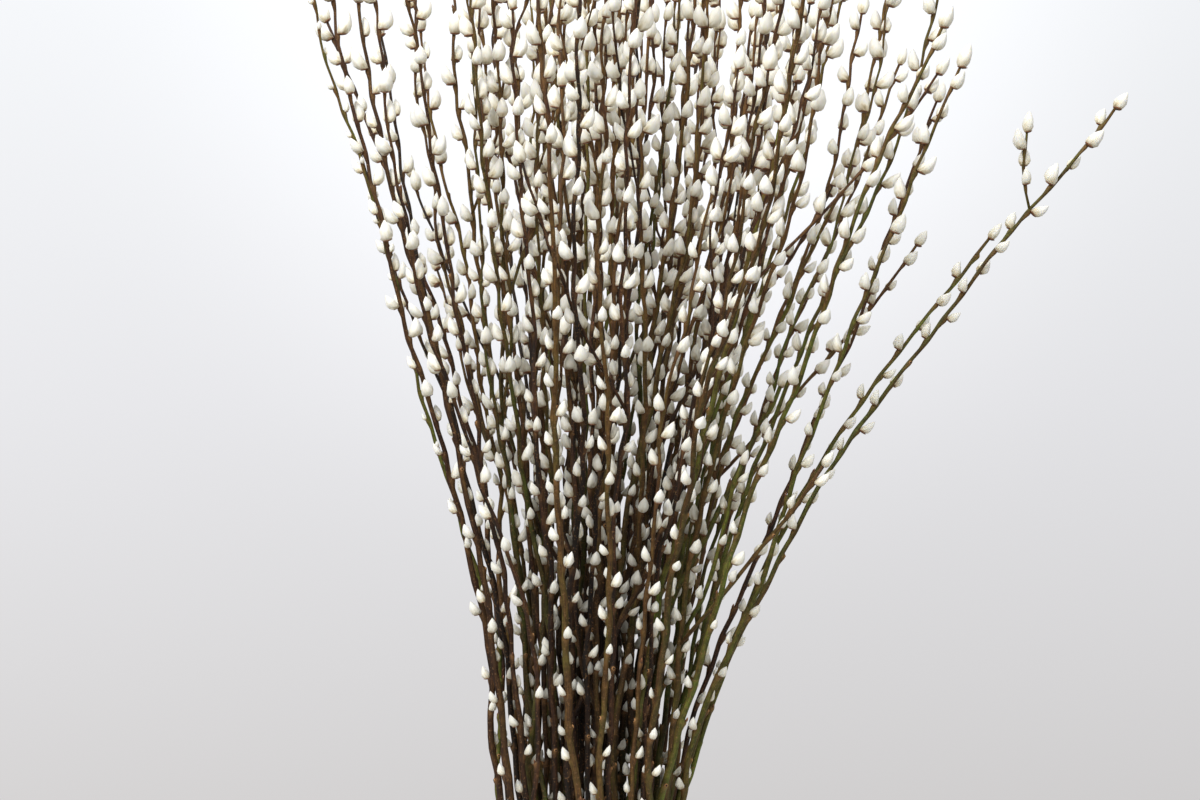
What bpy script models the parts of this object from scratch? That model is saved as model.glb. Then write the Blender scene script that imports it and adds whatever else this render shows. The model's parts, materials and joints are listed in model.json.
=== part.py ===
"""A bunch of pussy willow: cut branches with furry catkins, tied with twine, standing on their cut ends.

Units are metres and +Z is up. The origin is the cut end of the middle branch, on the surface that the bunch
stands on, and -Y is its front.
"""

import math
from dataclasses import dataclass, field

import bmesh
import bpy
import numpy as np

SEED = 11

# The tie, and how the stems are packed in it: one in the middle and five rings round it.
TIE_HEIGHT = 0.170
TIE_REACH = 0.020
RINGS = (1, 6, 12, 18, 24, 30)
PACKED_RADIUS = 0.0430
FOOT_RADIUS = 0.092
FOOT_BEND = 1.35

# Neighbours in a ring make pairs. In so many pairs the two stems are one branch, which forks below the tie:
# the heights where it forks, and how far above the fork the two stems have parted.
FORKED_PAIRS = 32
FORK_HEIGHT = (0.052, 0.100)
FORK_REACH = 0.045

# The main mass of tips: its middle, its radius, how far each next ring turns the other way on its way up, and
# the heights that the tips reach.
CROWN_MIDDLE = (0.048, 0.0)
CROWN_RADIUS = 0.216
CROWN_TWIST = math.radians(13)
TIP_HEIGHT = 1.030
TIP_DROP = 0.060
TIP_SPREAD = 0.048
SCATTER = 0.040
SWAY = 0.024
BENDS = (0.84, 1.36)

# How far branches have spread from the tie towards their tips, as a share, at heights above the surface.
SPREAD = (
    (0.15, 0.0),
    (0.19, 0.0),
    (0.33, 0.17),
    (0.41, 0.22),
    (0.49, 0.30),
    (0.57, 0.42),
    (0.65, 0.55),
    (0.73, 0.69),
    (0.81, 0.82),
    (0.97, 0.98),
    (1.12, 1.07),
)

# The stems that give the bunch its outline: the place in the outermost ring, and points passed on the way up.
OUTLINE_STEMS = (
    (0, ((0.078, -0.004, 0.36), (0.128, -0.008, 0.48), (0.196, -0.012, 0.60), (0.414, -0.020, 0.88))),
    (2, ((0.078, 0.024, 0.36), (0.122, 0.026, 0.48), (0.184, 0.024, 0.60), (0.322, 0.020, 0.78))),
    (1, ((0.080, 0.016, 0.36), (0.150, 0.055, 0.55), (0.222, 0.080, 0.72), (0.292, 0.090, 0.90))),
    (29, ((0.076, -0.030, 0.36), (0.150, -0.060, 0.56), (0.215, -0.085, 0.74), (0.280, -0.105, 0.90))),
    (4, ((0.066, 0.054, 0.36), (0.122, 0.095, 0.56), (0.196, 0.135, 0.76), (0.268, 0.150, 0.94))),
    (27, ((0.062, -0.056, 0.36), (0.118, -0.100, 0.56), (0.190, -0.140, 0.76), (0.255, -0.165, 0.92))),
    (15, ((-0.073, 0.004, 0.34), (-0.078, 0.000, 0.46), (-0.106, -0.030, 0.58), (-0.212, -0.100, 0.96))),
    (16, ((-0.068, -0.030, 0.34), (-0.092, -0.060, 0.54), (-0.145, -0.100, 0.73), (-0.200, -0.130, 1.00))),
    (14, ((-0.068, 0.030, 0.34), (-0.078, 0.034, 0.52), (-0.124, 0.045, 0.71), (-0.218, 0.050, 0.97))),
    (12, ((-0.056, 0.044, 0.34), (-0.072, 0.062, 0.52), (-0.098, 0.090, 0.71), (-0.158, 0.120, 1.02))),
    (18, ((-0.052, -0.046, 0.34), (-0.070, -0.070, 0.52), (-0.098, -0.110, 0.71), (-0.140, -0.160, 1.00))),
)

# Places in the outermost ring whose stems are slim, with their girth and the size of their catkins as shares.
SLIM_STEMS = {0: (0.82, 1.0), 2: (0.78, 1.0), 15: (0.70, 0.45)}

# Side shoots above the tie: how many, the heights where they leave, how far they go aside, and their length.
SIDE_SHOOTS = 44
SIDE_FORK = (0.38, 0.84)
SIDE_REACH = (0.050, 0.105)
SIDE_LENGTH = (0.14, 0.30)
SIDE_EASE = 0.35
SIDE_GIRTH = 0.80
OUTLINE_FORK = (0, 0.800, (-0.056, -0.010), 0.865)
CLEAR_OF_FORK = 0.060
BARE_ABOVE_FORK = 0.016

# How far stems wander from their smooth way, at steps of height above the tie.
WANDER = 0.0022
WANDER_STEP = 0.065

# A branch's radius at heights above the surface, how much branches differ, and how stout they are, as a share,
# in the middle of the bunch and at its outside.
GIRTH = (
    (0.00, 0.0034),
    (0.17, 0.0032),
    (0.33, 0.0029),
    (0.46, 0.0026),
    (0.65, 0.0020),
    (0.90, 0.0014),
    (1.10, 0.0009),
)
GIRTH_SPREAD = (0.84, 1.10)
GIRTH_BY_REACH = (1.04, 0.91)

# The room that branches keep from each other at heights above the surface, between their barks.
ROOM = ((0.00, 0.0010), (0.18, 0.0014), (0.26, 0.0055), (0.36, 0.0085), (1.10, 0.0105))
LEVEL_STEP = 0.020
EASING_ROUNDS = 240

# Buds: each opens a catkin. They follow each other round the stem by two fifths of a turn.
BUD_SIDES = 5
BUD_TURN = 2
LOWEST_BUD = 0.250
BUD_STEP = ((0.25, 0.031), (0.50, 0.0255), (1.10, 0.0210))
CATKIN_LENGTH = ((0.25, 0.0095), (0.42, 0.0110), (0.65, 0.0142), (0.90, 0.0176), (1.10, 0.0186))
LENGTH_SPREAD = (0.84, 1.14)
STOUTNESS = (0.51, 0.64)
CATKIN_LEAN = (math.radians(16), math.radians(30))
CATKIN_STANDOFF = 0.25
BELLY = 0.40
CATKIN_ROOM = 0.0007

# One bud in so many, counted from the tip down, has its catkin solid here. The terminal catkin always is.
SOLID_EVERY = 16

# Heights where every stem has a section, besides those at its catkins and forks. More are put in where the
# stem would stray further from its way than the distance given for that height.
SECTIONS = (TIE_HEIGHT - 0.014, TIE_HEIGHT + 0.014)
STRAY = ((0.00, 0.0040), (0.18, 0.0014), (0.25, 0.0024), (0.36, 0.0046), (1.10, 0.0056))

# Twine: turns of a round cord laid side by side.
TWINE_TURNS = 5
TWINE_RADIUS = 0.0021
TWINE_STEP = 0.0037
TWINE_SEGMENTS = 24
TIE_CLEARANCE = 0.0005
KNOT_RADII = (0.0080, 0.0045, 0.0062)


def through(table, places):
    """A smooth curve through a table of (place, value, ...), read at places: cubic pieces that share slopes."""
    table = np.asarray(table, float)
    places = np.atleast_1d(np.asarray(places, float))
    knots, values = table[:, 0], table[:, 1:]
    slopes = np.gradient(values, knots, axis=0)
    index = np.clip(np.searchsorted(knots, places, side="right") - 1, 0, len(knots) - 2)
    width = (knots[index + 1] - knots[index])[:, None]
    t = np.clip((places[:, None] - knots[index][:, None]) / width, 0, 1)
    start = (1 + 2 * t) * (1 - t) ** 2 * values[index] + t * (1 - t) ** 2 * width * slopes[index]
    end = t * t * (3 - 2 * t) * values[index + 1] - t * t * (1 - t) * width * slopes[index + 1]
    return start + end


def reading(table, place):
    """One number read from a table by straight lines between its rows."""
    knots, values = zip(*table)
    return float(np.interp(place, knots, values))


@dataclass
class Shoot:
    """One stem from its foot or its fork up to its tip. Its way is a point in the plane for each level."""

    first: int
    last: int
    girth: float
    way: np.ndarray
    parent: "Shoot | None" = None
    steady: bool = False
    growth: float = 1.0
    buds: list = field(default_factory=list)

    def heights(self):
        return np.arange(self.first, self.last + 1) * LEVEL_STEP

    def points(self, heights):
        table = np.column_stack([self.heights(), self.way[self.first : self.last + 1]])
        return np.column_stack([through(table, heights), heights])

    def point(self, height):
        return self.points(np.array([height]))[0]

    def radius(self, height):
        return self.girth * float(through(GIRTH, height)[0, 0])

    def axes(self, height):
        """The stem's direction at a height, and the two directions across it that angles start from."""
        low = max(height - 0.004, self.first * LEVEL_STEP)
        high = min(height + 0.004, self.last * LEVEL_STEP)
        along = unit(self.point(high) - self.point(low))
        across = unit(np.array([1.0, 0.0, 0.0]) - along[0] * along)
        return along, across, np.cross(along, across)


@dataclass
class Catkin:
    """A furry catkin: the height of its bud, the side of the stem that it is on, and its axis and size."""

    height: float
    side: int
    order: int
    base: np.ndarray
    axis: np.ndarray
    outward: np.ndarray
    length: float
    radius: float


def unit(vector):
    return vector / np.linalg.norm(vector)


def turned(vectors, angle):
    """Points of the plane turned by an angle."""
    c, s = math.cos(angle), math.sin(angle)
    return vectors @ np.array([[c, s], [-s, c]])


def packed_places():
    """The places in the tie, as shares of the packed radius, and each place's ring and number in it."""
    places, names = [], []
    for ring, count in enumerate(RINGS):
        for number in range(count):
            angle = 2 * math.pi * number / count
            share = ring / (len(RINGS) - 1)
            places.append((share * math.cos(angle), share * math.sin(angle)))
            names.append((ring, number))
    return np.array(places), names


def foot_way(place, heights):
    """The way of a branch up to the tie and through it: splayed at the foot, and straight in the tie."""
    tie_low = TIE_HEIGHT - TIE_REACH
    below = np.clip((tie_low - heights) / tie_low, 0, 1) ** FOOT_BEND
    return place * (PACKED_RADIUS + (FOOT_RADIUS - PACKED_RADIUS) * below[:, None])


def spread_way(place, tip, tip_height, bend, heights):
    """The way of a branch of the main mass, which spreads from its place in the tie to its own tip."""
    spread = np.clip(through(SPREAD, heights), 0, None) ** bend
    return foot_way(place, heights) + (tip - place * PACKED_RADIUS) * spread


def outline_way(place, points, heights):
    """The way of a branch that passes given points above the tie."""
    low = [(height, *(place * PACKED_RADIUS)) for height in (TIE_HEIGHT - TIE_REACH, TIE_HEIGHT + TIE_REACH)]
    table = low + [(z, x, y) for x, y, z in points]
    passed = through(table, heights)
    return np.where(heights[:, None] > TIE_HEIGHT, passed, foot_way(place, heights))


def swayed(way, sway, phase, heights, tip_height):
    """Bends a way gently to and fro between the tie and the tip."""
    start = TIE_HEIGHT + TIE_REACH
    above = np.clip((heights - start) / (tip_height - start), 0, 1)[:, None]
    return way + sway * np.sin(2.4 * math.pi * above + phase) * above * (1 - above)


def wander(rng, low, heights):
    """Small smooth turns aside above a height, drawn at even steps and joined by a smooth curve."""
    knots = np.arange(low, heights[-1] + WANDER_STEP, WANDER_STEP)
    turns = rng.normal(0, WANDER, (len(knots), 2))
    turns[:2] = 0
    return through(np.column_stack([knots, turns]), heights)


def plan_stems(rng):
    """The stems that pass the tie, with their wanted ways, before they make room for each other."""
    places, names = packed_places()
    heights = np.arange(round((TIP_HEIGHT + TIP_SPREAD) / LEVEL_STEP) + 2) * LEVEL_STEP
    outline = dict(OUTLINE_STEMS)
    stems, paired = [], []
    for place, (ring, number) in zip(places, names):
        reach = float(np.hypot(*place))
        twist = CROWN_TWIST * (-1) ** ring * (0.5 + reach)
        crown = turned(place, twist) * CROWN_RADIUS + CROWN_MIDDLE
        tip = crown + rng.normal(0, SCATTER, 2)
        tip_height = TIP_HEIGHT - TIP_DROP * reach**2 + rng.uniform(-TIP_SPREAD, TIP_SPREAD)
        bend = rng.uniform(*BENDS)
        sway = rng.normal(0, SWAY, 2)
        phase = rng.uniform(0, 2 * math.pi)
        girth = rng.uniform(*GIRTH_SPREAD) * np.interp(reach, (0, 1), GIRTH_BY_REACH)
        steady = ring == len(RINGS) - 1 and number in outline
        if steady:
            points = outline[number]
            tip_height, sway = points[-1][2], sway * 0.3
            way = outline_way(place, points, heights)
        else:
            way = spread_way(place, tip, tip_height, bend, heights)
        way = swayed(way, sway, phase, heights, tip_height) + wander(rng, TIE_HEIGHT + TIE_REACH, heights)
        stems.append(Shoot(0, round(tip_height / LEVEL_STEP), girth, way, steady=steady))
        if steady and number in SLIM_STEMS:
            stems[-1].girth, stems[-1].growth = SLIM_STEMS[number]
        if number % 2 == 1 and not (steady or stems[-2].steady):
            paired.append((stems[-2], stems[-1]))
    for pick in rng.permutation(len(paired))[:FORKED_PAIRS]:
        join_below(*paired[pick], rng.uniform(*FORK_HEIGHT))
    return stems


def join_below(parent, side, height):
    """Makes a stem a side shoot of its neighbour, which it leaves below the tie."""
    side.parent = parent
    side.first = round(height / LEVEL_STEP)
    side.girth = min(side.girth, parent.girth * SIDE_GIRTH)
    parted = np.clip((np.arange(len(side.way)) - side.first) * LEVEL_STEP / FORK_REACH, 0, 1)[:, None]
    side.way = parent.way + (side.way - parent.way) * parted * (2 - parted)


def fork(parent, height, reach, tip_height, rng):
    """A side shoot: it leaves its parent at a height and ends beside it, reach away from where that goes."""
    first = round(height / LEVEL_STEP)
    last = max(round(tip_height / LEVEL_STEP), first + 3)
    step = parent.way[parent.last] - parent.way[parent.last - 1]
    beyond = np.arange(len(parent.way)) - parent.last
    going = np.where(beyond[:, None] > 0, parent.way[parent.last] + step * beyond[:, None], parent.way)
    share = np.clip((np.arange(len(parent.way)) - first) / (last - first), 0, 1)[:, None]
    heights = np.arange(len(parent.way)) * LEVEL_STEP
    parted = share * (1 + SIDE_EASE * (1 - share))
    way = going + np.asarray(reach) * parted + wander(rng, first * LEVEL_STEP, heights)
    return Shoot(first, last, parent.girth * SIDE_GIRTH, way, parent=parent, steady=parent.steady)


def plan_side_shoots(stems, rng):
    number, height, reach, tip_height = OUTLINE_FORK
    sides = [fork(stems[sum(RINGS[:-1]) + number], height, reach, tip_height, rng)]
    free = [stem for stem in stems if not stem.steady]
    for pick in rng.permutation(len(free))[:SIDE_SHOOTS]:
        parent = free[pick]
        height = rng.uniform(*SIDE_FORK)
        angle = rng.uniform(0, 2 * math.pi)
        reach = rng.uniform(*SIDE_REACH) * np.array([math.cos(angle), math.sin(angle)])
        top = min(height + rng.uniform(*SIDE_LENGTH), parent.last * LEVEL_STEP + 0.02)
        sides.append(fork(parent, height, reach, max(top, height + 0.13), rng))
    return sides


def make_room(shoots):
    """Eases shoots apart where they would touch, level by level, and keeps each one's change smooth."""
    levels = len(shoots[0].way)
    wanted = np.array([shoot.way for shoot in shoots])
    here = wanted.copy()
    heights = np.arange(levels) * LEVEL_STEP
    first = np.array([shoot.first for shoot in shoots])
    last = np.array([shoot.last for shoot in shoots])
    present = (np.arange(levels) >= first[:, None]) & (np.arange(levels) <= last[:, None] + 1)
    girth = np.array([shoot.girth for shoot in shoots])
    radius = girth[:, None] * through(GIRTH, heights)[:, 0]
    room = np.interp(heights, *zip(*ROOM))
    index = {id(shoot): i for i, shoot in enumerate(shoots)}
    parent = np.array([index[id(s.parent)] if s.parent else -1 for s in shoots])
    yields = np.array([0.25 if shoot.steady else 1.0 for shoot in shoots])
    together = np.zeros((levels, len(shoots), len(shoots)), bool)
    for i in np.flatnonzero(parent >= 0):
        near = heights < first[i] * LEVEL_STEP + CLEAR_OF_FORK
        together[near, i, parent[i]] = together[near, parent[i], i] = True
    free = heights > TIE_HEIGHT + LEVEL_STEP / 2
    apart = radius.T[:, :, None] + radius.T[:, None, :] + room[:, None, None]
    pairs = present.T[:, :, None] & present.T[:, None, :] & ~together & ~np.eye(len(shoots), dtype=bool)
    for _ in range(EASING_ROUNDS):
        points = here.transpose(1, 0, 2)
        gaps = points[:, :, None] - points[:, None]
        distance = np.linalg.norm(gaps, axis=3) + 1e-9
        short = np.where(pairs, np.clip(apart - distance, 0, None), 0)
        push = (gaps / distance[..., None] * short[..., None]).sum(2) * 0.35
        change = here - wanted + (push * free[:, None, None]).transpose(1, 0, 2) * yields[:, None, None]
        middle = (change[:, :-2] + change[:, 2:]) / 2
        change[:, 1:-1] += 0.35 * (middle - change[:, 1:-1]) * free[1:-1, None]
        for i in np.flatnonzero(parent >= 0):
            share = np.clip((np.arange(levels) - first[i]) / 3, 0, 1)[:, None]
            change[i] = share * change[i] + (1 - share) * change[parent[i]]
        here = wanted + change
    for shoot, way in zip(shoots, here):
        shoot.way = way


def catkin_at(shoot, height, side, order, length, stoutness, lean):
    """A catkin on one side of a stem: it stands off the bark by a share of its width and leans out."""
    along, across, round_it = shoot.axes(height)
    angle = 2 * math.pi * side / BUD_SIDES
    outward = math.cos(angle) * across + math.sin(angle) * round_it
    radius = length * stoutness / 2
    base = shoot.point(height) + outward * (shoot.radius(height) + CATKIN_STANDOFF * 2 * radius * 0.5)
    axis = math.cos(lean) * along + math.sin(lean) * outward
    return Catkin(height, side, order, base, axis, outward, length, radius)


def terminal_catkin(shoot, length, stoutness):
    """The catkin at a shoot's tip, in line with it."""
    height = shoot.last * LEVEL_STEP
    along, across, _ = shoot.axes(height)
    return Catkin(height, -1, 0, shoot.point(height), along, across, length, length * stoutness / 2)


def spheres_of(catkin):
    """Three balls that fill a catkin, for telling what it would touch."""
    shares = np.array([0.22, 0.48, 0.80])
    radii = np.array([0.86, 0.98, 0.62]) * catkin.radius
    return catkin.base + shares[:, None] * catkin.length * catkin.axis, radii


def stem_points(shoots):
    """Points along every stem, the radius of the stem at each, and the number of its shoot."""
    points, radii, owners = [], [], []
    for number, shoot in enumerate(shoots):
        low = shoot.first * LEVEL_STEP + (BARE_ABOVE_FORK if shoot.parent else 0)
        heights = np.arange(low, shoot.last * LEVEL_STEP, 0.004)
        table = np.column_stack([shoot.heights(), shoot.way[shoot.first : shoot.last + 1]])
        points.append(np.column_stack([through(table, heights), heights]))
        radii.append(shoot.girth * through(GIRTH, heights)[:, 0])
        owners.append(np.full(len(heights), number))
    return np.concatenate(points), np.concatenate(radii), np.concatenate(owners)


def grow_catkins(shoots, rng):
    """Puts a catkin at each bud, from the tips down. One that would touch moves aside, or is left out."""
    stems, stem_radii, owners = stem_points(shoots)
    balls, ball_radii = np.zeros((0, 3)), np.zeros(0)

    def is_clear(catkin, number):
        centres, radii = spheres_of(catkin)
        near = owners != number
        for centre, radius in zip(centres, radii + CATKIN_ROOM):
            if (np.linalg.norm(stems[near] - centre, axis=1) < stem_radii[near] + radius).any():
                return False
            if (np.linalg.norm(balls - centre, axis=1) < ball_radii + radius).any():
                return False
        return True

    for number, shoot in enumerate(shoots):
        tip = shoot.last * LEVEL_STEP
        lowest = max(shoot.first * LEVEL_STEP + 0.035, LOWEST_BUD)
        length = shoot.growth * reading(CATKIN_LENGTH, tip) * rng.uniform(0.95, 1.15)
        shoot.buds.append(terminal_catkin(shoot, length, rng.uniform(*STOUTNESS)))
        height, side, order = tip - rng.uniform(0.011, 0.016), int(rng.integers(BUD_SIDES)), 1
        while height > lowest:
            length = shoot.growth * reading(CATKIN_LENGTH, height) * rng.uniform(*LENGTH_SPREAD)
            stoutness = rng.uniform(*STOUTNESS)
            lean = rng.uniform(*CATKIN_LEAN)
            for shift in (0, 1, -1, 2, -2):
                catkin = catkin_at(shoot, height, side + shift, order, length, stoutness, lean)
                if is_clear(catkin, number):
                    shoot.buds.append(catkin)
                    break
            side = (side + BUD_TURN) % BUD_SIDES
            order += 1
            height -= reading(BUD_STEP, height) * rng.uniform(0.85, 1.15) * shoot.axes(height)[0][2]
        for catkin in shoot.buds:
            centres, radii = spheres_of(catkin)
            balls, ball_radii = np.concatenate([balls, centres]), np.concatenate([ball_radii, radii])


def grow_bunch():
    rng = np.random.default_rng(SEED)
    stems = plan_stems(rng)
    shoots = stems + plan_side_shoots(stems, rng)
    make_room(shoots)
    grow_catkins(shoots, rng)
    return [stem for stem in stems if stem.parent is None], shoots


def stem_ring(shoot, height):
    """The corners of the stem's five-sided section at a height, with a side facing each place for a bud."""
    along, across, round_it = shoot.axes(height)
    radius = shoot.radius(height) * 1.06
    angles = 2 * math.pi * (np.arange(BUD_SIDES) + 0.5) / BUD_SIDES
    section = np.outer(np.cos(angles), across) + np.outer(np.sin(angles), round_it)
    return shoot.point(height) + radius * section


def foot_ring(shoot):
    """The section at the foot, cut level with the surface."""
    ring = stem_ring(shoot, 0.0)
    along = shoot.axes(0.0)[0]
    return ring - np.outer(ring[:, 2] / along[2], along)


def extruded(mesh, face, ring):
    """Extrudes a face to a ring of points, matching the two so that the sides twist least."""
    grown = bmesh.ops.extrude_discrete_faces(mesh, faces=[face])["faces"][0]
    here = np.array([vertex.co for vertex in grown.verts])
    here -= here.mean(0)
    shape = ring - ring.mean(0)
    twists = [np.linalg.norm(np.roll(shape, shift, axis=0) - here, axis=1).sum() for shift in range(len(ring))]
    for vertex, point in zip(grown.verts, np.roll(ring, int(np.argmin(twists)), axis=0)):
        vertex.co = point
    return grown


def side_face(top, shoot, height, side):
    """The face below a stem's top face that looks out on one side of the stem."""
    along, across, round_it = shoot.axes(height)
    angle = 2 * math.pi * side / BUD_SIDES
    outward = math.cos(angle) * across + math.sin(angle) * round_it
    below = [loop.link_loop_radial_next.face for loop in top.loops]
    centre = top.calc_center_median()
    return max(below, key=lambda face: float(np.dot(face.calc_center_median() - centre, outward)))


def solid_catkin(mesh, face, catkin):
    """Raises a catkin from a face: out to a ring round its belly, and up to its point."""
    count = len(face.verts)
    beside = unit(np.cross(catkin.axis, catkin.outward))
    outside = np.cross(beside, catkin.axis)
    angles = 2 * math.pi * (np.arange(count) + 0.5) / count
    section = np.outer(np.cos(angles), outside) + np.outer(np.sin(angles), beside)
    middle = catkin.base + BELLY * catkin.length * catkin.axis
    belly = extruded(mesh, face, middle + catkin.radius * 1.12 * section)
    point = bmesh.ops.poke(mesh, faces=[belly])["verts"][0]
    point.co = catkin.base + catkin.length * catkin.axis


def solid_catkins_of(shoot):
    """The catkins that are solid here, from the lowest up, by the height of their bud."""
    chosen = [catkin for catkin in shoot.buds if catkin.order > 0 and catkin.order % SOLID_EVERY == 0]
    return sorted(chosen, key=lambda catkin: catkin.height)


def bends(shoot, low, high):
    """Heights between two sections of a stem where it needs more of them, so that it keeps to its way."""
    heights = np.linspace(low, high, 26)[1:-1]
    if high - low < 0.012:
        return []
    start, end = shoot.point(low), shoot.point(high)
    straight = start + ((heights - low) / (high - low))[:, None] * (end - start)
    excess = np.linalg.norm(shoot.points(heights) - straight, axis=1) - np.interp(heights, *zip(*STRAY))
    middle = heights[np.argmax(excess)]
    if excess.max() < 0:
        return []
    return bends(shoot, low, middle) + [middle] + bends(shoot, middle, high)


def raise_stem(mesh, top, shoot, shoots, done=0.0):
    """Extrudes a stem's top face up its way, raising catkins and side shoots from its sides as it goes."""
    forks = [(side.first * LEVEL_STEP, side) for side in shoots if side.parent is shoot]
    catkins = [(catkin.height, catkin) for catkin in solid_catkins_of(shoot)]
    clear = [event for event in catkins if all(abs(event[0] - height) > 0.012 for height, _ in forks)]
    things = forks + clear
    fixed = sorted({done, *SECTIONS, *(height for height, _ in things), shoot.last * LEVEL_STEP})
    fixed = [height for height in fixed if height >= done]
    extra = [height for low, high in zip(fixed, fixed[1:]) for height in bends(shoot, low, high)]
    plain = [(height, None) for height in (*SECTIONS, *extra) if height > done]
    for height, thing in sorted(things + plain, key=lambda event: event[0]):
        if height < done + 0.004:
            continue
        if thing is None:
            top = extruded(mesh, top, stem_ring(shoot, height))
            done = height
            continue
        length = 0.0046 if isinstance(thing, Catkin) else 0.0060
        top = extruded(mesh, top, stem_ring(shoot, height))
        top = extruded(mesh, top, stem_ring(shoot, height + length))
        done = height + length
        if isinstance(thing, Catkin):
            solid_catkin(mesh, side_face(top, shoot, height, thing.side), thing)
        else:
            raise_side_shoot(mesh, top, shoot, thing, height, shoots)
    tip = shoot.last * LEVEL_STEP
    top = extruded(mesh, top, stem_ring(shoot, tip))
    solid_catkin(mesh, top, shoot.buds[0])


def raise_side_shoot(mesh, top, parent, side, height, shoots):
    """Starts a side shoot from the face of its parent that looks its way, made five-sided first."""
    ahead = side.point(height + 0.04) - parent.point(height + 0.04)
    below = [loop.link_loop_radial_next.face for loop in top.loops]
    centre = top.calc_center_median()
    face = max(below, key=lambda f: float(np.dot(f.calc_center_median() - centre, ahead)))
    lowest = min(face.edges, key=lambda edge: sum(vertex.co.z for vertex in edge.verts))
    bmesh.utils.edge_split(lowest, lowest.verts[0], 0.5)
    clear = parent.radius(height) + side.radius(height) + 0.0008
    start = height + 0.012
    while np.linalg.norm(side.point(start)[:2] - parent.point(start)[:2]) < clear + 0.0004:
        start += 0.002
    middle = height + 0.4 * (start - height)
    ring = stem_ring(side, start)
    offset = unit(np.append(side.point(start)[:2] - parent.point(start)[:2], 0.0))
    low_ring = stem_ring(side, middle) - side.point(middle) + parent.point(middle)
    face = extruded(mesh, face, low_ring + offset * clear * 0.92)
    face = extruded(mesh, face, ring)
    raise_stem(mesh, face, side, shoots, start)


def material(name, colour, roughness):
    made = bpy.data.materials.new(name)
    made.use_nodes = True
    shader = made.node_tree.nodes["Principled BSDF"]
    shader.inputs["Base Color"].default_value = (*colour, 1.0)
    shader.inputs["Roughness"].default_value = roughness
    shader.inputs["Metallic"].default_value = 0.0
    return made


def object_from(name, mesh, finish):
    """Makes an object of a bmesh, with its faces pointing out and its flat facets kept."""
    bmesh.ops.recalc_face_normals(mesh, faces=mesh.faces)
    data = bpy.data.meshes.new(name)
    mesh.to_mesh(data)
    mesh.free()
    data.materials.append(finish)
    made = bpy.data.objects.new(name, data)
    bpy.context.scene.collection.objects.link(made)
    return made


def make_branch(name, branch, shoots, finish):
    mesh = bmesh.new()
    foot = [mesh.verts.new(corner) for corner in foot_ring(branch)]
    raise_stem(mesh, mesh.faces.new(foot), branch, shoots)
    mesh.faces.new(reversed(foot))
    return object_from(name, mesh, finish)


def make_tie(finish):
    """Turns of twine round the bunch, spun from the outline of their stacked sections, with a knot in front."""
    mesh = bmesh.new()
    stoutest = max(GIRTH_SPREAD) * GIRTH_BY_REACH[1] * reading(GIRTH, TIE_HEIGHT)
    inner = (PACKED_RADIUS + stoutest * 1.06 + TIE_CLEARANCE) / math.cos(math.pi / TWINE_SEGMENTS)
    low = TIE_HEIGHT - TWINE_STEP * (TWINE_TURNS - 1) / 2
    outside = []
    for turn in range(TWINE_TURNS):
        for angle in (-0.30 * math.pi, 0.0, 0.30 * math.pi):
            out = inner + TWINE_RADIUS * (1 + math.cos(angle))
            outside.append((out, low + turn * TWINE_STEP + TWINE_RADIUS * math.sin(angle)))
    bottom, top = low - TWINE_RADIUS * 0.8, low + (TWINE_TURNS - 1) * TWINE_STEP + TWINE_RADIUS * 0.8
    profile = [(inner, bottom), *outside, (inner, top)]
    ring = [mesh.verts.new((radius, 0.0, height)) for radius, height in profile]
    edges = [mesh.edges.new((ring[i - 1], ring[i])) for i in range(len(ring))]
    bmesh.ops.spin(
        mesh,
        geom=ring + edges,
        cent=(0, 0, 0),
        axis=(0, 0, 1),
        angle=2 * math.pi,
        steps=TWINE_SEGMENTS,
        use_merge=True,
    )
    tie = object_from("twine_tie", mesh, finish)
    knot_mesh = bmesh.new()
    bmesh.ops.create_icosphere(knot_mesh, subdivisions=1, radius=1.0)
    bmesh.ops.scale(knot_mesh, verts=knot_mesh.verts, vec=KNOT_RADII)
    front = inner + TWINE_RADIUS * 1.6
    bmesh.ops.translate(knot_mesh, verts=knot_mesh.verts, vec=(0, -front - KNOT_RADII[1] * 0.35, TIE_HEIGHT))
    knot = object_from("knot", knot_mesh, finish)
    joined = tie.modifiers.new("knot", "BOOLEAN")
    joined.operation = "UNION"
    joined.object = knot
    joined.solver = "EXACT"
    knot.hide_render = True
    knot.display_type = "WIRE"
    return tie


def main():
    for old in list(bpy.data.objects):
        bpy.data.objects.remove(old)
    bark = material("bark", (0.16, 0.085, 0.045), 0.55)
    twine = material("twine", (0.48, 0.34, 0.19), 0.9)
    branches, shoots = grow_bunch()
    for number, branch in enumerate(branches, start=1):
        make_branch(f"branch_{number:02d}", branch, shoots, bark)
    make_tie(twine)


main()
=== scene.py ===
"""Pussy willow: fine bark, catkins and twine for a tied bunch of cut branches, and the stage it stands on.

Units are metres and +Z is up. The origin is the cut end of the middle branch, and -Y is the bunch's front.
"""

import json
import math
from dataclasses import dataclass, field

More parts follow.
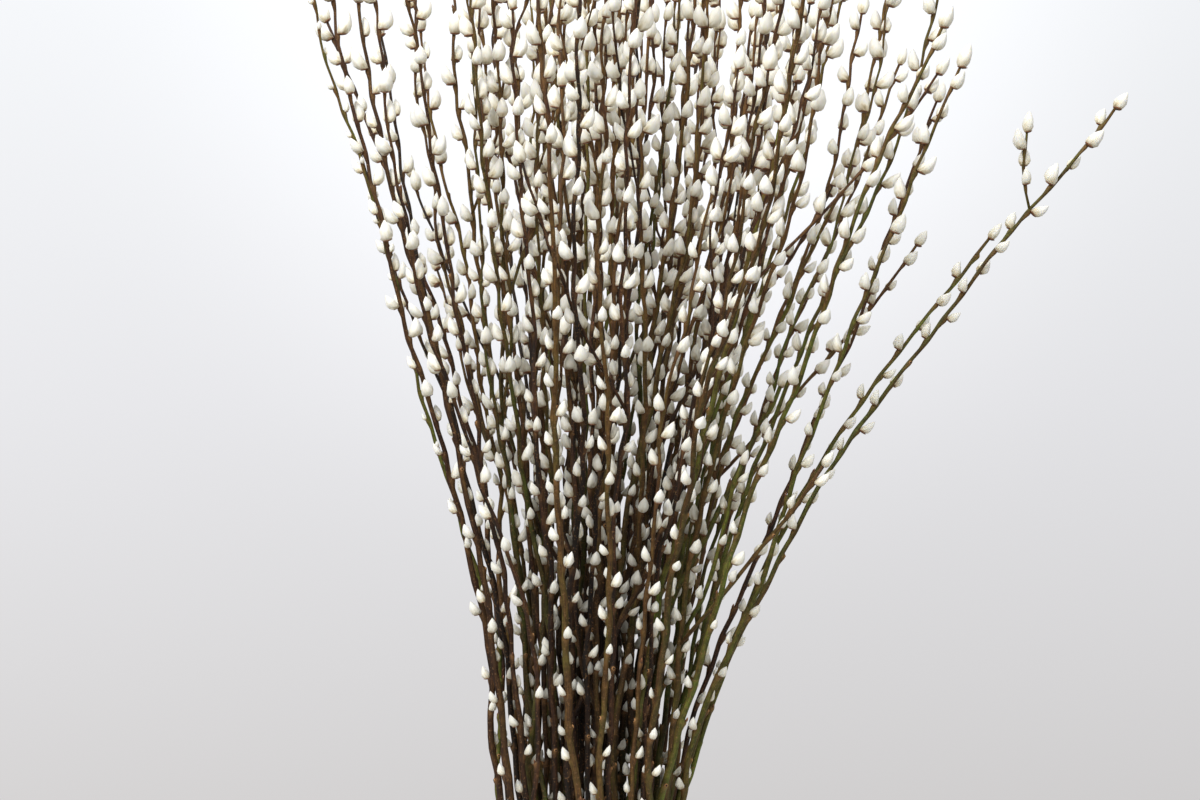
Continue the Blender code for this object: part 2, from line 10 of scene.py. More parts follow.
import bpy
import numpy as np
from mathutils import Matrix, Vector

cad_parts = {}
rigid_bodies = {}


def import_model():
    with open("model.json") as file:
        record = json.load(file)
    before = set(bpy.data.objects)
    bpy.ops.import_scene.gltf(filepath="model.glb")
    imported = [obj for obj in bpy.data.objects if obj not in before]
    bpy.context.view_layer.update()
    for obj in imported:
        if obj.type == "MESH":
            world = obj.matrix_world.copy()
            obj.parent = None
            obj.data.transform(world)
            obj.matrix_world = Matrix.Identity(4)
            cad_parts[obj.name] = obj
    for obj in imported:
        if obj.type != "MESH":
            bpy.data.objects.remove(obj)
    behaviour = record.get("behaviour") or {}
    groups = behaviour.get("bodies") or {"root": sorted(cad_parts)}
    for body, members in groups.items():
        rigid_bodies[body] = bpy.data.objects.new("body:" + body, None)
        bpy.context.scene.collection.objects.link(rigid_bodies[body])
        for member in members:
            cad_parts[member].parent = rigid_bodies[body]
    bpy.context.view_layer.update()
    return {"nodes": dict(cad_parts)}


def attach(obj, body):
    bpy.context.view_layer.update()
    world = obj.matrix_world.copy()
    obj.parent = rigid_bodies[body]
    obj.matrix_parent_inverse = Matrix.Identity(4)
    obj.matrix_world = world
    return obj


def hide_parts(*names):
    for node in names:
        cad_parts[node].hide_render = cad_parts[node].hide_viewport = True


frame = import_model()

bl_info = {
    "name": "Pussy Willow Bunch",
    "version": (1, 0, 0),
    "blender": (4, 5, 0),
    "location": "3D View > Sidebar > Willow",
    "description": "Grows the bark, the catkins and the twine of a tied bunch of pussy willow",
    "category": "Add Mesh",
}

SEED = 11

# The tie, and how the stems are packed in it: one in the middle and five rings round it.
TIE_HEIGHT = 0.170
TIE_REACH = 0.020
RINGS = (1, 6, 12, 18, 24, 30)
PACKED_RADIUS = 0.0430
FOOT_RADIUS = 0.092
FOOT_BEND = 1.35

# Neighbours in a ring make pairs. In so many pairs the two stems are one branch, which forks below the tie:
# the heights where it forks, and how far above the fork the two stems have parted.
FORKED_PAIRS = 32
FORK_HEIGHT = (0.052, 0.100)
FORK_REACH = 0.045

# The main mass of tips: its middle, its radius, how far each next ring turns the other way on its way up, and
# the heights that the tips reach.
CROWN_MIDDLE = (0.048, 0.0)
CROWN_RADIUS = 0.216
CROWN_TWIST = math.radians(13)
TIP_HEIGHT = 1.030
TIP_DROP = 0.060
TIP_SPREAD = 0.048
SCATTER = 0.040
SWAY = 0.024
BENDS = (0.84, 1.36)

# How far branches have spread from the tie towards their tips, as a share, at heights above the surface.
SPREAD = (
    (0.15, 0.0),
    (0.19, 0.0),
    (0.33, 0.17),
    (0.41, 0.22),
    (0.49, 0.30),
    (0.57, 0.42),
    (0.65, 0.55),
    (0.73, 0.69),
    (0.81, 0.82),
    (0.97, 0.98),
    (1.12, 1.07),
)

# The stems that give the bunch its outline: the place in the outermost ring, and points passed on the way up.
OUTLINE_STEMS = (
    (0, ((0.078, -0.004, 0.36), (0.128, -0.008, 0.48), (0.196, -0.012, 0.60), (0.414, -0.020, 0.88))),
    (2, ((0.078, 0.024, 0.36), (0.122, 0.026, 0.48), (0.184, 0.024, 0.60), (0.322, 0.020, 0.78))),
    (1, ((0.080, 0.016, 0.36), (0.150, 0.055, 0.55), (0.222, 0.080, 0.72), (0.292, 0.090, 0.90))),
    (29, ((0.076, -0.030, 0.36), (0.150, -0.060, 0.56), (0.215, -0.085, 0.74), (0.280, -0.105, 0.90))),
    (4, ((0.066, 0.054, 0.36), (0.122, 0.095, 0.56), (0.196, 0.135, 0.76), (0.268, 0.150, 0.94))),
    (27, ((0.062, -0.056, 0.36), (0.118, -0.100, 0.56), (0.190, -0.140, 0.76), (0.255, -0.165, 0.92))),
    (15, ((-0.073, 0.004, 0.34), (-0.078, 0.000, 0.46), (-0.106, -0.030, 0.58), (-0.212, -0.100, 0.96))),
    (16, ((-0.068, -0.030, 0.34), (-0.092, -0.060, 0.54), (-0.145, -0.100, 0.73), (-0.200, -0.130, 1.00))),
    (14, ((-0.068, 0.030, 0.34), (-0.078, 0.034, 0.52), (-0.124, 0.045, 0.71), (-0.218, 0.050, 0.97))),
    (12, ((-0.056, 0.044, 0.34), (-0.072, 0.062, 0.52), (-0.098, 0.090, 0.71), (-0.158, 0.120, 1.02))),
    (18, ((-0.052, -0.046, 0.34), (-0.070, -0.070, 0.52), (-0.098, -0.110, 0.71), (-0.140, -0.160, 1.00))),
)

# Places in the outermost ring whose stems are slim, with their girth and the size of their catkins as shares.
SLIM_STEMS = {0: (0.82, 1.0), 2: (0.78, 1.0), 15: (0.70, 0.45)}

# Side shoots above the tie: how many, the heights where they leave, how far they go aside, their length, how
# soon they part, their girth as a share, and the outlying stem's own one. Then how far above a fork the two
# stems may be close, how far up the shoot's bark is passed over and its buds start, and its least length.
SIDE_SHOOTS = 44
SIDE_FORK = (0.38, 0.84)
SIDE_REACH = (0.050, 0.105)
SIDE_LENGTH = (0.14, 0.30)
SIDE_EASE = 0.35
SIDE_GIRTH = 0.80
OUTLINE_FORK = (0, 0.800, (-0.056, -0.010), 0.865)
CLEAR_OF_FORK = 0.060
BARE_ABOVE_FORK = 0.016
BARE_OF_BUDS = 0.035
SIDE_SHORTEST = 0.130

# How far stems wander from their smooth way, at steps of height above the tie.
WANDER = 0.0022
WANDER_STEP = 0.065

# A branch's radius at heights above the surface, how much branches differ, and how stout they are, as a
# share, in the middle of the bunch and at its outside.
GIRTH = (
    (0.00, 0.0034),
    (0.17, 0.0032),
    (0.33, 0.0029),
    (0.46, 0.0026),
    (0.65, 0.0020),
    (0.90, 0.0014),
    (1.10, 0.0009),
)
GIRTH_SPREAD = (0.84, 1.10)
GIRTH_BY_REACH = (1.04, 0.91)

# The room that branches keep from each other at heights above the surface, between their barks.
ROOM = ((0.00, 0.0010), (0.18, 0.0014), (0.26, 0.0055), (0.36, 0.0085), (1.10, 0.0105))
LEVEL_STEP = 0.020

# How stems make room: the rounds, how far a stem is pushed and how much its way is smoothed in each, and how
# much a steady stem yields, as shares.
EASING_ROUNDS = 240
PUSH = 0.35
SMOOTHING = 0.35
STEADY_YIELDS = 0.25

# How far above and below a place a stem's direction is measured, and the steps between its bark's points.
AXIS_REACH = 0.004
BARK_STEP = 0.004

# Buds: each opens a catkin. They follow each other round the stem by two fifths of a turn. The steps between
# them and the catkins' lengths are given at heights, and both vary by a share.
BUD_SIDES = 5
BUD_TURN = 2
LOWEST_BUD = 0.250
BUD_STEP = ((0.25, 0.031), (0.50, 0.0255), (1.10, 0.0210))
CATKIN_LENGTH = ((0.25, 0.0095), (0.42, 0.0110), (0.65, 0.0142), (0.90, 0.0176), (1.10, 0.0186))
LENGTH_SPREAD = (0.84, 1.14)
TIP_LENGTH_SPREAD = (0.95, 1.15)
TIP_GAP = (0.011, 0.016)
STEP_SPREAD = (0.85, 1.15)
STOUTNESS = (0.51, 0.64)
CATKIN_LEAN = (math.radians(16), math.radians(30))
CATKIN_STANDOFF = 0.25
CATKIN_ROOM = 0.0007

# One bud in so many, counted from the tip down, is solid in the frame, so it always opens here.
SOLID_EVERY = 16

# Twine: turns of a round cord laid side by side.
TWINE_TURNS = 5
TWINE_RADIUS = 0.0021
TWINE_STEP = 0.0037
TWINE_SEGMENTS = 24
TIE_CLEARANCE = 0.0005


def through(table, places):
    """A smooth curve through a table of (place, value, ...) at places: cubic pieces that share slopes."""
    table = np.asarray(table, float)
    places = np.atleast_1d(np.asarray(places, float))
    knots, values = table[:, 0], table[:, 1:]
    slopes = np.gradient(values, knots, axis=0)
    index = np.clip(np.searchsorted(knots, places, side="right") - 1, 0, len(knots) - 2)
    width = (knots[index + 1] - knots[index])[:, None]
    t = np.clip((places[:, None] - knots[index][:, None]) / width, 0, 1)
    start = (1 + 2 * t) * (1 - t) ** 2 * values[index] + t * (1 - t) ** 2 * width * slopes[index]
    end = t * t * (3 - 2 * t) * values[index + 1] - t * t * (1 - t) * width * slopes[index + 1]
    return start + end


def reading(table, place):
    """One number read from a table by straight lines between its rows."""
    knots, values = zip(*table)
    return float(np.interp(place, knots, values))


@dataclass
class Shoot:
    """One stem from its foot or its fork up to its tip. Its way is a point in the plane for each level."""

    first: int
    last: int
    girth: float
    way: np.ndarray
    parent: "Shoot | None" = None
    steady: bool = False
    growth: float = 1.0
    buds: list = field(default_factory=list)

    def heights(self):
        return np.arange(self.first, self.last + 1) * LEVEL_STEP

    def points(self, heights):
        table = np.column_stack([self.heights(), self.way[self.first : self.last + 1]])
        return np.column_stack([through(table, heights), heights])

    def point(self, height):
        return self.points(np.array([height]))[0]

    def radius(self, height):
        return self.girth * float(through(GIRTH, height)[0, 0])

    def axes(self, height):
        """The stem's direction at a height, and the two directions across it that angles start from."""
        low = max(height - AXIS_REACH, self.first * LEVEL_STEP)
        high = min(height + AXIS_REACH, self.last * LEVEL_STEP)
        along = unit(self.point(high) - self.point(low))
        across = unit(np.array([1.0, 0.0, 0.0]) - along[0] * along)
        return along, across, np.cross(along, across)


@dataclass
class Catkin:
    """A furry catkin: the height of its bud, the side of the stem that it is on, and its axis and size."""

    height: float
    side: int
    order: int
    base: np.ndarray
    axis: np.ndarray
    outward: np.ndarray
    length: float
    radius: float


def unit(vector):
    return vector / np.linalg.norm(vector)


def turned(vectors, angle):
    """Points of the plane turned by an angle."""
    c, s = math.cos(angle), math.sin(angle)
    return vectors @ np.array([[c, s], [-s, c]])


def packed_places():
    """The places in the tie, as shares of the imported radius, and each place's ring and number in it."""
    places, names = [], []
    for ring, count in enumerate(RINGS):
        for number in range(count):
            angle = math.tau * number / count
            share = ring / (len(RINGS) - 1)
            places.append((share * math.cos(angle), share * math.sin(angle)))
            names.append((ring, number))
    return np.array(places), names


def foot_way(place, heights):
    """The way of a branch up to the tie and through it: splayed at the foot, and straight in the tie."""
    tie_low = TIE_HEIGHT - TIE_REACH
    below = np.clip((tie_low - heights) / tie_low, 0, 1) ** FOOT_BEND
    return place * (PACKED_RADIUS + (FOOT_RADIUS - PACKED_RADIUS) * below[:, None])


def spread_way(place, tip, bend, heights):
    """The way of a branch of the main mass, which spreads from its place in the tie to its own tip."""
    spread = np.clip(through(SPREAD, heights), 0, None) ** bend
    return foot_way(place, heights) + (tip - place * PACKED_RADIUS) * spread


def outline_way(place, points, heights):
    """The way of a branch that passes given points above the tie."""
    low = [(height, *(place * PACKED_RADIUS)) for height in (TIE_HEIGHT - TIE_REACH, TIE_HEIGHT + TIE_REACH)]
    table = low + [(z, x, y) for x, y, z in points]
    passed = through(table, heights)
    return np.where(heights[:, None] > TIE_HEIGHT, passed, foot_way(place, heights))


def swayed(way, sway, phase, heights, tip_height):
    """Bends a way gently to and fro between the tie and the tip."""
    start = TIE_HEIGHT + TIE_REACH
    above = np.clip((heights - start) / (tip_height - start), 0, 1)[:, None]
    return way + sway * np.sin(2.4 * math.pi * above + phase) * above * (1 - above)


def wander(rng, low, heights):
    """Small smooth turns aside above a height, drawn at even steps and joined by a smooth curve."""
    knots = np.arange(low, heights[-1] + WANDER_STEP, WANDER_STEP)
    turns = rng.normal(0, WANDER, (len(knots), 2))
    turns[:2] = 0
    return through(np.column_stack([knots, turns]), heights)


def plan_stems(rng):
    """The stems that pass the tie, with their wanted ways, before they make room for each other."""
    places, names = packed_places()
    heights = np.arange(round((TIP_HEIGHT + TIP_SPREAD) / LEVEL_STEP) + 2) * LEVEL_STEP
    outline = dict(OUTLINE_STEMS)
    stems, paired = [], []
    for place, (ring, number) in zip(places, names):
        reach = float(np.hypot(*place))
        twist = CROWN_TWIST * (-1) ** ring * (0.5 + reach)
        crown = turned(place, twist) * CROWN_RADIUS + CROWN_MIDDLE
        tip = crown + rng.normal(0, SCATTER, 2)
        tip_height = TIP_HEIGHT - TIP_DROP * reach**2 + rng.uniform(-TIP_SPREAD, TIP_SPREAD)
        bend = rng.uniform(*BENDS)
        sway = rng.normal(0, SWAY, 2)
        phase = rng.uniform(0, math.tau)
        girth = rng.uniform(*GIRTH_SPREAD) * np.interp(reach, (0, 1), GIRTH_BY_REACH)
        steady = ring == len(RINGS) - 1 and number in outline
        if steady:
            points = outline[number]
            tip_height, sway = points[-1][2], sway * 0.3
            way = outline_way(place, points, heights)
        else:
            way = spread_way(place, tip, bend, heights)
        way = swayed(way, sway, phase, heights, tip_height) + wander(rng, TIE_HEIGHT + TIE_REACH, heights)
        stems.append(Shoot(0, round(tip_height / LEVEL_STEP), girth, way, steady=steady))
        if steady and number in SLIM_STEMS:
            stems[-1].girth, stems[-1].growth = SLIM_STEMS[number]
        if number % 2 == 1 and not (steady or stems[-2].steady):
            paired.append((stems[-2], stems[-1]))
    for pick in rng.permutation(len(paired))[:FORKED_PAIRS]:
        join_below(*paired[pick], rng.uniform(*FORK_HEIGHT))
    return stems


def join_below(parent, side, height):
    """Makes a stem a side shoot of its neighbour, which it leaves below the tie."""
    side.parent = parent
    side.first = round(height / LEVEL_STEP)
    side.girth = min(side.girth, parent.girth * SIDE_GIRTH)
    parted = np.clip((np.arange(len(side.way)) - side.first) * LEVEL_STEP / FORK_REACH, 0, 1)[:, None]
    side.way = parent.way + (side.way - parent.way) * parted * (2 - parted)


def fork(parent, height, reach, tip_height, rng):
    """A side shoot: it leaves its parent at a height and ends beside it, reach away from where that goes."""
    first = round(height / LEVEL_STEP)
    last = max(round(tip_height / LEVEL_STEP), first + 3)
    step = parent.way[parent.last] - parent.way[parent.last - 1]
    beyond = np.arange(len(parent.way)) - parent.last
    going = np.where(beyond[:, None] > 0, parent.way[parent.last] + step * beyond[:, None], parent.way)
    share = np.clip((np.arange(len(parent.way)) - first) / (last - first), 0, 1)[:, None]
    heights = np.arange(len(parent.way)) * LEVEL_STEP
    parted = share * (1 + SIDE_EASE * (1 - share))
    way = going + np.asarray(reach) * parted + wander(rng, first * LEVEL_STEP, heights)
    return Shoot(first, last, parent.girth * SIDE_GIRTH, way, parent=parent, steady=parent.steady)


def plan_side_shoots(stems, rng):
    """The side shoots above the tie: the outlying stem's own, and those of stems picked at random."""
    number, height, reach, tip_height = OUTLINE_FORK
    sides = [fork(stems[sum(RINGS[:-1]) + number], height, reach, tip_height, rng)]
    free = [stem for stem in stems if not stem.steady]
    for pick in rng.permutation(len(free))[:SIDE_SHOOTS]:
        parent = free[pick]
        height = rng.uniform(*SIDE_FORK)
        angle = rng.uniform(0, math.tau)
        reach = rng.uniform(*SIDE_REACH) * np.array([math.cos(angle), math.sin(angle)])
        top = min(height + rng.uniform(*SIDE_LENGTH), parent.last * LEVEL_STEP + LEVEL_STEP)
        sides.append(fork(parent, height, reach, max(top, height + SIDE_SHORTEST), rng))
    return sides


def make_room(shoots):
    """Eases shoots apart where they would touch, level by level, and keeps each one's change smooth."""
    levels = len(shoots[0].way)
    wanted = np.array([shoot.way for shoot in shoots])
    here = wanted.copy()
    heights = np.arange(levels) * LEVEL_STEP
    first = np.array([shoot.first for shoot in shoots])
    last = np.array([shoot.last for shoot in shoots])
    present = (np.arange(levels) >= first[:, None]) & (np.arange(levels) <= last[:, None] + 1)
    girth = np.array([shoot.girth for shoot in shoots])
    radius = girth[:, None] * through(GIRTH, heights)[:, 0]
    room = np.interp(heights, *zip(*ROOM))
    index = {id(shoot): i for i, shoot in enumerate(shoots)}
    parent = np.array([index[id(s.parent)] if s.parent else -1 for s in shoots])
    yields = np.array([STEADY_YIELDS if shoot.steady else 1.0 for shoot in shoots])
    together = np.zeros((levels, len(shoots), len(shoots)), bool)
    for i in np.flatnonzero(parent >= 0):
        near = heights < first[i] * LEVEL_STEP + CLEAR_OF_FORK
        together[near, i, parent[i]] = together[near, parent[i], i] = True
    free = heights > TIE_HEIGHT + LEVEL_STEP / 2
    apart = radius.T[:, :, None] + radius.T[:, None, :] + room[:, None, None]
    pairs = present.T[:, :, None] & present.T[:, None, :] & ~together & ~np.eye(len(shoots), dtype=bool)
    for _ in range(EASING_ROUNDS):
        points = here.transpose(1, 0, 2)
        gaps = points[:, :, None] - points[:, None]
        distance = np.linalg.norm(gaps, axis=3) + 1e-9
        short = np.where(pairs, np.clip(apart - distance, 0, None), 0)
        push = (gaps / distance[..., None] * short[..., None]).sum(2) * PUSH
        change = here - wanted + (push * free[:, None, None]).transpose(1, 0, 2) * yields[:, None, None]
        middle = (change[:, :-2] + change[:, 2:]) / 2
        change[:, 1:-1] += SMOOTHING * (middle - change[:, 1:-1]) * free[1:-1, None]
        for i in np.flatnonzero(parent >= 0):
            share = np.clip((np.arange(levels) - first[i]) / 3, 0, 1)[:, None]
            change[i] = share * change[i] + (1 - share) * change[parent[i]]
        here = wanted + change
    for shoot, way in zip(shoots, here):
        shoot.way = way


def catkin_at(shoot, height, side, order, length, stoutness, lean):
    """A catkin on one side of a stem: it stands off the bark by a share of its width and leans out."""
    along, across, round_it = shoot.axes(height)
    angle = math.tau * side / BUD_SIDES
    outward = math.cos(angle) * across + math.sin(angle) * round_it
    radius = length * stoutness / 2
    base = shoot.point(height) + outward * (shoot.radius(height) + CATKIN_STANDOFF * radius)
    axis = math.cos(lean) * along + math.sin(lean) * outward
    return Catkin(height, side, order, base, axis, outward, length, radius)


def terminal_catkin(shoot, length, stoutness):
    """The catkin at a shoot's tip, in line with it."""
    height = shoot.last * LEVEL_STEP
    along, across, _ = shoot.axes(height)
    return Catkin(height, -1, 0, shoot.point(height), along, across, length, length * stoutness / 2)


def spheres_of(catkin):
    """Three balls that fill a catkin, for telling what it would touch."""
    shares = np.array([0.22, 0.48, 0.80])
    radii = np.array([0.86, 0.98, 0.62]) * catkin.radius
    return catkin.base + shares[:, None] * catkin.length * catkin.axis, radii


def stem_points(shoots):
    """Points along every stem, the radius of the stem at each, and the number of its shoot."""
    points, radii, owners = [], [], []
    for number, shoot in enumerate(shoots):
        low = shoot.first * LEVEL_STEP + (BARE_ABOVE_FORK if shoot.parent else 0)
        heights = np.arange(low, shoot.last * LEVEL_STEP, BARK_STEP)
        table = np.column_stack([shoot.heights(), shoot.way[shoot.first : shoot.last + 1]])
        points.append(np.column_stack([through(table, heights), heights]))
        radii.append(shoot.girth * through(GIRTH, heights)[:, 0])
        owners.append(np.full(len(heights), number))
    return np.concatenate(points), np.concatenate(radii), np.concatenate(owners)


def grow_catkins(shoots, rng):
    """Puts a catkin at each bud, from the tips down. One that would touch moves aside, or is left out."""
    stems, stem_radii, owners = stem_points(shoots)
    balls, ball_radii = np.zeros((0, 3)), np.zeros(0)

    def is_clear(catkin, number):
        centres, radii = spheres_of(catkin)
        near = owners != number
        for centre, radius in zip(centres, radii + CATKIN_ROOM):
            if (np.linalg.norm(stems[near] - centre, axis=1) < stem_radii[near] + radius).any():
                return False
            if (np.linalg.norm(balls - centre, axis=1) < ball_radii + radius).any():
                return False
        return True

    for number, shoot in enumerate(shoots):
        tip = shoot.last * LEVEL_STEP
        lowest = max(shoot.first * LEVEL_STEP + BARE_OF_BUDS, LOWEST_BUD)
        length = shoot.growth * reading(CATKIN_LENGTH, tip) * rng.uniform(*TIP_LENGTH_SPREAD)
        shoot.buds.append(terminal_catkin(shoot, length, rng.uniform(*STOUTNESS)))
        height = tip - rng.uniform(*TIP_GAP)
        side, order = int(rng.integers(BUD_SIDES)), 1
        while height > lowest:
            length = shoot.growth * reading(CATKIN_LENGTH, height) * rng.uniform(*LENGTH_SPREAD)
            stoutness = rng.uniform(*STOUTNESS)
            lean = rng.uniform(*CATKIN_LEAN)
            for shift in (0, 1, -1, 2, -2):
                catkin = catkin_at(shoot, height, side + shift, order, length, stoutness, lean)
                if is_clear(catkin, number):
                    shoot.buds.append(catkin)
                    break
            side = (side + BUD_TURN) % BUD_SIDES
            order += 1
            height -= reading(BUD_STEP, height) * rng.uniform(*STEP_SPREAD) * shoot.axes(height)[0][2]
        for catkin in shoot.buds:
            centres, radii = spheres_of(catkin)
            balls, ball_radii = np.concatenate([balls, centres]), np.concatenate([ball_radii, radii])


def grow_bunch():
    """The branches, which are the stems from the surface up, and every shoot with its catkins."""
    rng = np.random.default_rng(SEED)
    stems = plan_stems(rng)
    shoots = stems + plan_side_shoots(stems, rng)
    make_room(shoots)
    grow_catkins(shoots, rng)
    return [stem for stem in stems if stem.parent is None], shoots


# The fine surfaces: seeds, sides round a stem, its rings' steps and its rings round a bud, sides of a
# catkin and of the cord, a catkin's rows as shares of its length, how often buds have opened and how blunt
# catkins are at heights, and how many closed buds are scars.
FINE_SEED = 23
BARK_SEED = 5
STEM_SIDES = 9
RING_STEP = 0.013
NODE_RINGS = (-0.0070, -0.0036, -0.0012, 0.0004, 0.0024)
CATKIN_SIDES = 8
CORD_SIDES = 15
CATKIN_ROWS = (0.045, 0.15, 0.31, 0.50, 0.69, 0.86, 0.96)
PRESENCE = ((0.25, 0.48), (0.42, 0.62), (0.60, 0.90), (0.70, 0.98), (1.10, 1.0))
TAPER = ((0.45, 0.92), (0.88, 0.86), (1.04, 0.68))
SCAR_SHARE = 0.6

# A stem's bark: how a ledge swells below its bud and ends above it, how much a stem swells all round at a
# bud and wavers in girth, as shares, and how far above its foot a stem first leans away from a bud.
SWELL_BELOW = 0.0045
SWELL_ABOVE = 0.0013
SWELL_ROUND = 0.06
WAVER = 0.035
WAVER_STEPS = 40
FIRST_LEAN = 0.030

# A catkin: how much flatter it may be than round, the share of its length that curves in to the bark, how far
# in it does, as a share of its standoff, and the heights in the bunch between which painted light
# brightens its silk.
FLATTEST = 0.20
INSET_SHARE = 0.3
INSET = 1.1
SILK_LIT_HEIGHTS = (0.30, 0.80)

# A bud scale: how far up its catkin it reaches, how much of that is the same all round, its rows as shares
# of its reach, how much wider than the silk each is, its places from foot to brim, its thickness, and how
# low its foot is.
CUP_REACH = (0.06, 0.17)
CUP_EVEN = 0.60
CUP_ROWS = (0.12, 0.5, 1.0, 0.97)
CUP_WIDTHS = (1.08, 1.10, 1.07, 0.90)
CUP_PLACES = (0.0, 0.25, 0.5, 0.9, 1.0)
CUP_THICK = 0.00012
CUP_FOOT = 0.0002

# A closed bud: its length, its half-width as a share of that, how close it lies to the stem, and its bow.
CLOSED_LENGTH = (0.0030, 0.0050)
CLOSED_WIDTH = 0.24
CLOSED_LEAN = 0.75
CLOSED_BOW = 0.02

# A scar: its half-width and height, how deep it sits in the bark, its upward tilt, and its rows as shares.
SCAR_WIDTH = (0.0013, 0.0018)
SCAR_HEIGHT = 0.0013
SCAR_SINK = 0.0002
SCAR_TILT = 0.25
SCAR_ROWS = (0.05, 0.45, 0.80, 0.95)

# The cord: the depth of its grooves as a share, their roundness, and the length and the girth of its ends.
GROOVE = 0.26
GROOVE_POWER = 0.6
CORD_END = 0.002
CORD_END_GIRTH = 0.25

# The twine's path: points a turn, the turns in which it crosses over the others, and how far out it does,
# in cord radii. The knot's points, its size to the side, outwards and upwards, how far its ends run on, as
# an angle, and how far out it lies, in cord radii.
TURN_POINTS = 190
CROSSING = 0.055
CROSSING_OUT = 1.55
KNOT_POINTS = 230
KNOT_SIZE = (0.0019, 0.0017, 0.0014)
KNOT_RUN_ON = 0.12
KNOT_OUT = 3.1

# How much stouter than their girth the tie takes branches to be, as buds and wavering bark make them.
GIRTH_ALLOWANCE = 1.06

# How far the bark's colour moves along its scale between a stem's sunny side and its shady side.
BLUSH = 0.15

# The place on the bark's scale that stems move towards at their tips, how far they do, how much painted light
# makes them lighter there, and the heights between which they change.
TIP_BARK = 0.26
TIP_SHARE = 0.6
CROWN_PAINTED_LIGHT = 0.45
CROWN = (0.62, 1.04)

# How much painted shade darkens bark and silk deep in the bunch, as shares, and the heights where that fades
# out.
INNER_PAINTED_SHADE = 0.72
SILK_PAINTED_SHADE = 0.42
PAINTED_SHADE_FADES = (0.45, 0.78)

# More catkins for the outlying stem's side shoot, near its fork: each one's height, side and length.
FORK_CATKINS = ((0.8335, 1, 0.0166), (0.8195, 4, 0.0150))

# Which barks the branches have, as places on the bark's scale of colours, how common each is, and how much
# the places vary.
BARK_KINDS = (0.06, 0.20, 0.36, 0.54, 0.68, 0.80, 0.96)
BARK_SHARES = (0.16, 0.19, 0.17, 0.15, 0.14, 0.12, 0.07)
BARK_SPREAD = 0.03

# The softboxes: each one's name, place, the height that it is aimed at and its size. All are aimed a little
# to the right of the middle.
SOFTBOXES = (
    ("key", (-1.05, -1.80, 2.15), 0.70, 1.2),
    ("fill", (2.20, -1.70, 1.20), 0.60, 1.6),
    ("back", (0.50, 1.50, 2.30), 1.00, 1.2),
)
SOFTBOX_AIM = 0.03

# The light from all round: the upward directions between which it grows, and its strengths there as shares.
SKY_RISE = (-0.5, 0.9)
SKY_SHARES = (0.35, 2.0)

# The backdrop: how far up and to the side its colours and its dimming reach, and how dim it is at the right.
BACKDROP_UP = 0.18
BACKDROP_SIDE = 0.26
RIGHT_DIM = 0.93

# The floor: its rings as shares of its radius, its sides, how far below the cut ends it lies, and where it
# fades, as shares of its radius.
FLOOR_RINGS = (1.0, 0.85, 0.7, 0.55, 0.4, 0.25, 0.1)
FLOOR_SIDES = 64
FLOOR_GAP = 0.0004
FLOOR_FADE = (0.35, 0.98)

# A branch's finishes, in the order of its materials.
BARK, SILK, CUP, WOOD, SCAR = range(5)


def linear(red, green, blue):
    """A display colour, each part from 0 to 255, as the linear colour that shading works in."""
    shown = np.array([red, green, blue]) / 255
    return tuple(np.where(shown <= 0.04045, shown / 12.92, ((shown + 0.055) / 1.055) ** 2.4).tolist())


def colour_setting(name, description, *shown):
    """A colour setting, whose default is given as display values from 0 to 255."""
    return bpy.props.FloatVectorProperty(
        name=name, description=description, subtype="COLOR", size=3, min=0.0, max=1.0, default=linear(*shown)
    )


def number_setting(name, description, default, **more):
    """A plain number as a setting."""
    return bpy.props.FloatProperty(name=name, description=description, default=default, **more)


def length_setting(name, description, default):
    """A length setting in metres."""
    return number_setting(name, description, default, unit="LENGTH", precision=4, min=0.0)


class WillowBarkSettings(bpy.types.PropertyGroup):
    """How the stems look."""

    dark: colour_setting("Dark", "Colour of the darkest bark", 40, 27, 17)
    red: colour_setting("Red brown", "Colour of red brown bark", 78, 48, 29)
    tan: colour_setting("Tan", "Colour of tan bark", 108, 77, 38)
    olive: colour_setting("Olive", "Colour of olive bark", 98, 88, 36)
    green: colour_setting("Green", "Colour of green bark", 98, 108, 36)
    scar: colour_setting("Bud scar", "Colour of the ledge below each bud", 142, 104, 64)
    wood: colour_setting("Cut wood", "Colour of the cut ends", 214, 196, 150)
    ledge: length_setting("Ledge", "How far the bark stands out below a bud", 0.0019)
    zigzag: length_setting("Zigzag", "How far a stem leans away from each bud", 0.0011)


class WillowCatkinSettings(bpy.types.PropertyGroup):
    """How the catkins look."""

    silk: colour_setting("Silk", "Colour of the silk at the point", 254, 252, 241)
    shade: colour_setting("Shade", "Colour of the silk near the base", 204, 192, 162)
    cup: colour_setting("Bud scale", "Colour of the bud scale that cups the base", 104, 66, 40)
    bow: number_setting("Bow", "How far the middle bows out, as a share", 0.07)
    ruffle: number_setting("Ruffle", "Unevenness of the silk, as a share", 0.055)


class WillowTwineSettings(bpy.types.PropertyGroup):
    """How the tie looks."""

    # The groove colour is painted shade between the strands, and the fibre colour is their lit side.
    fibre: colour_setting("Fibre", "Colour of the lit fibres", 186, 150, 100)
    groove: colour_setting("Groove", "Colour between the strands", 108, 78, 46)
    lay: length_setting("Lay", "Length of one twist of the strands", 0.0125)
    strands: bpy.props.IntProperty(name="Strands", description="Strands twisted together", default=3, min=2)


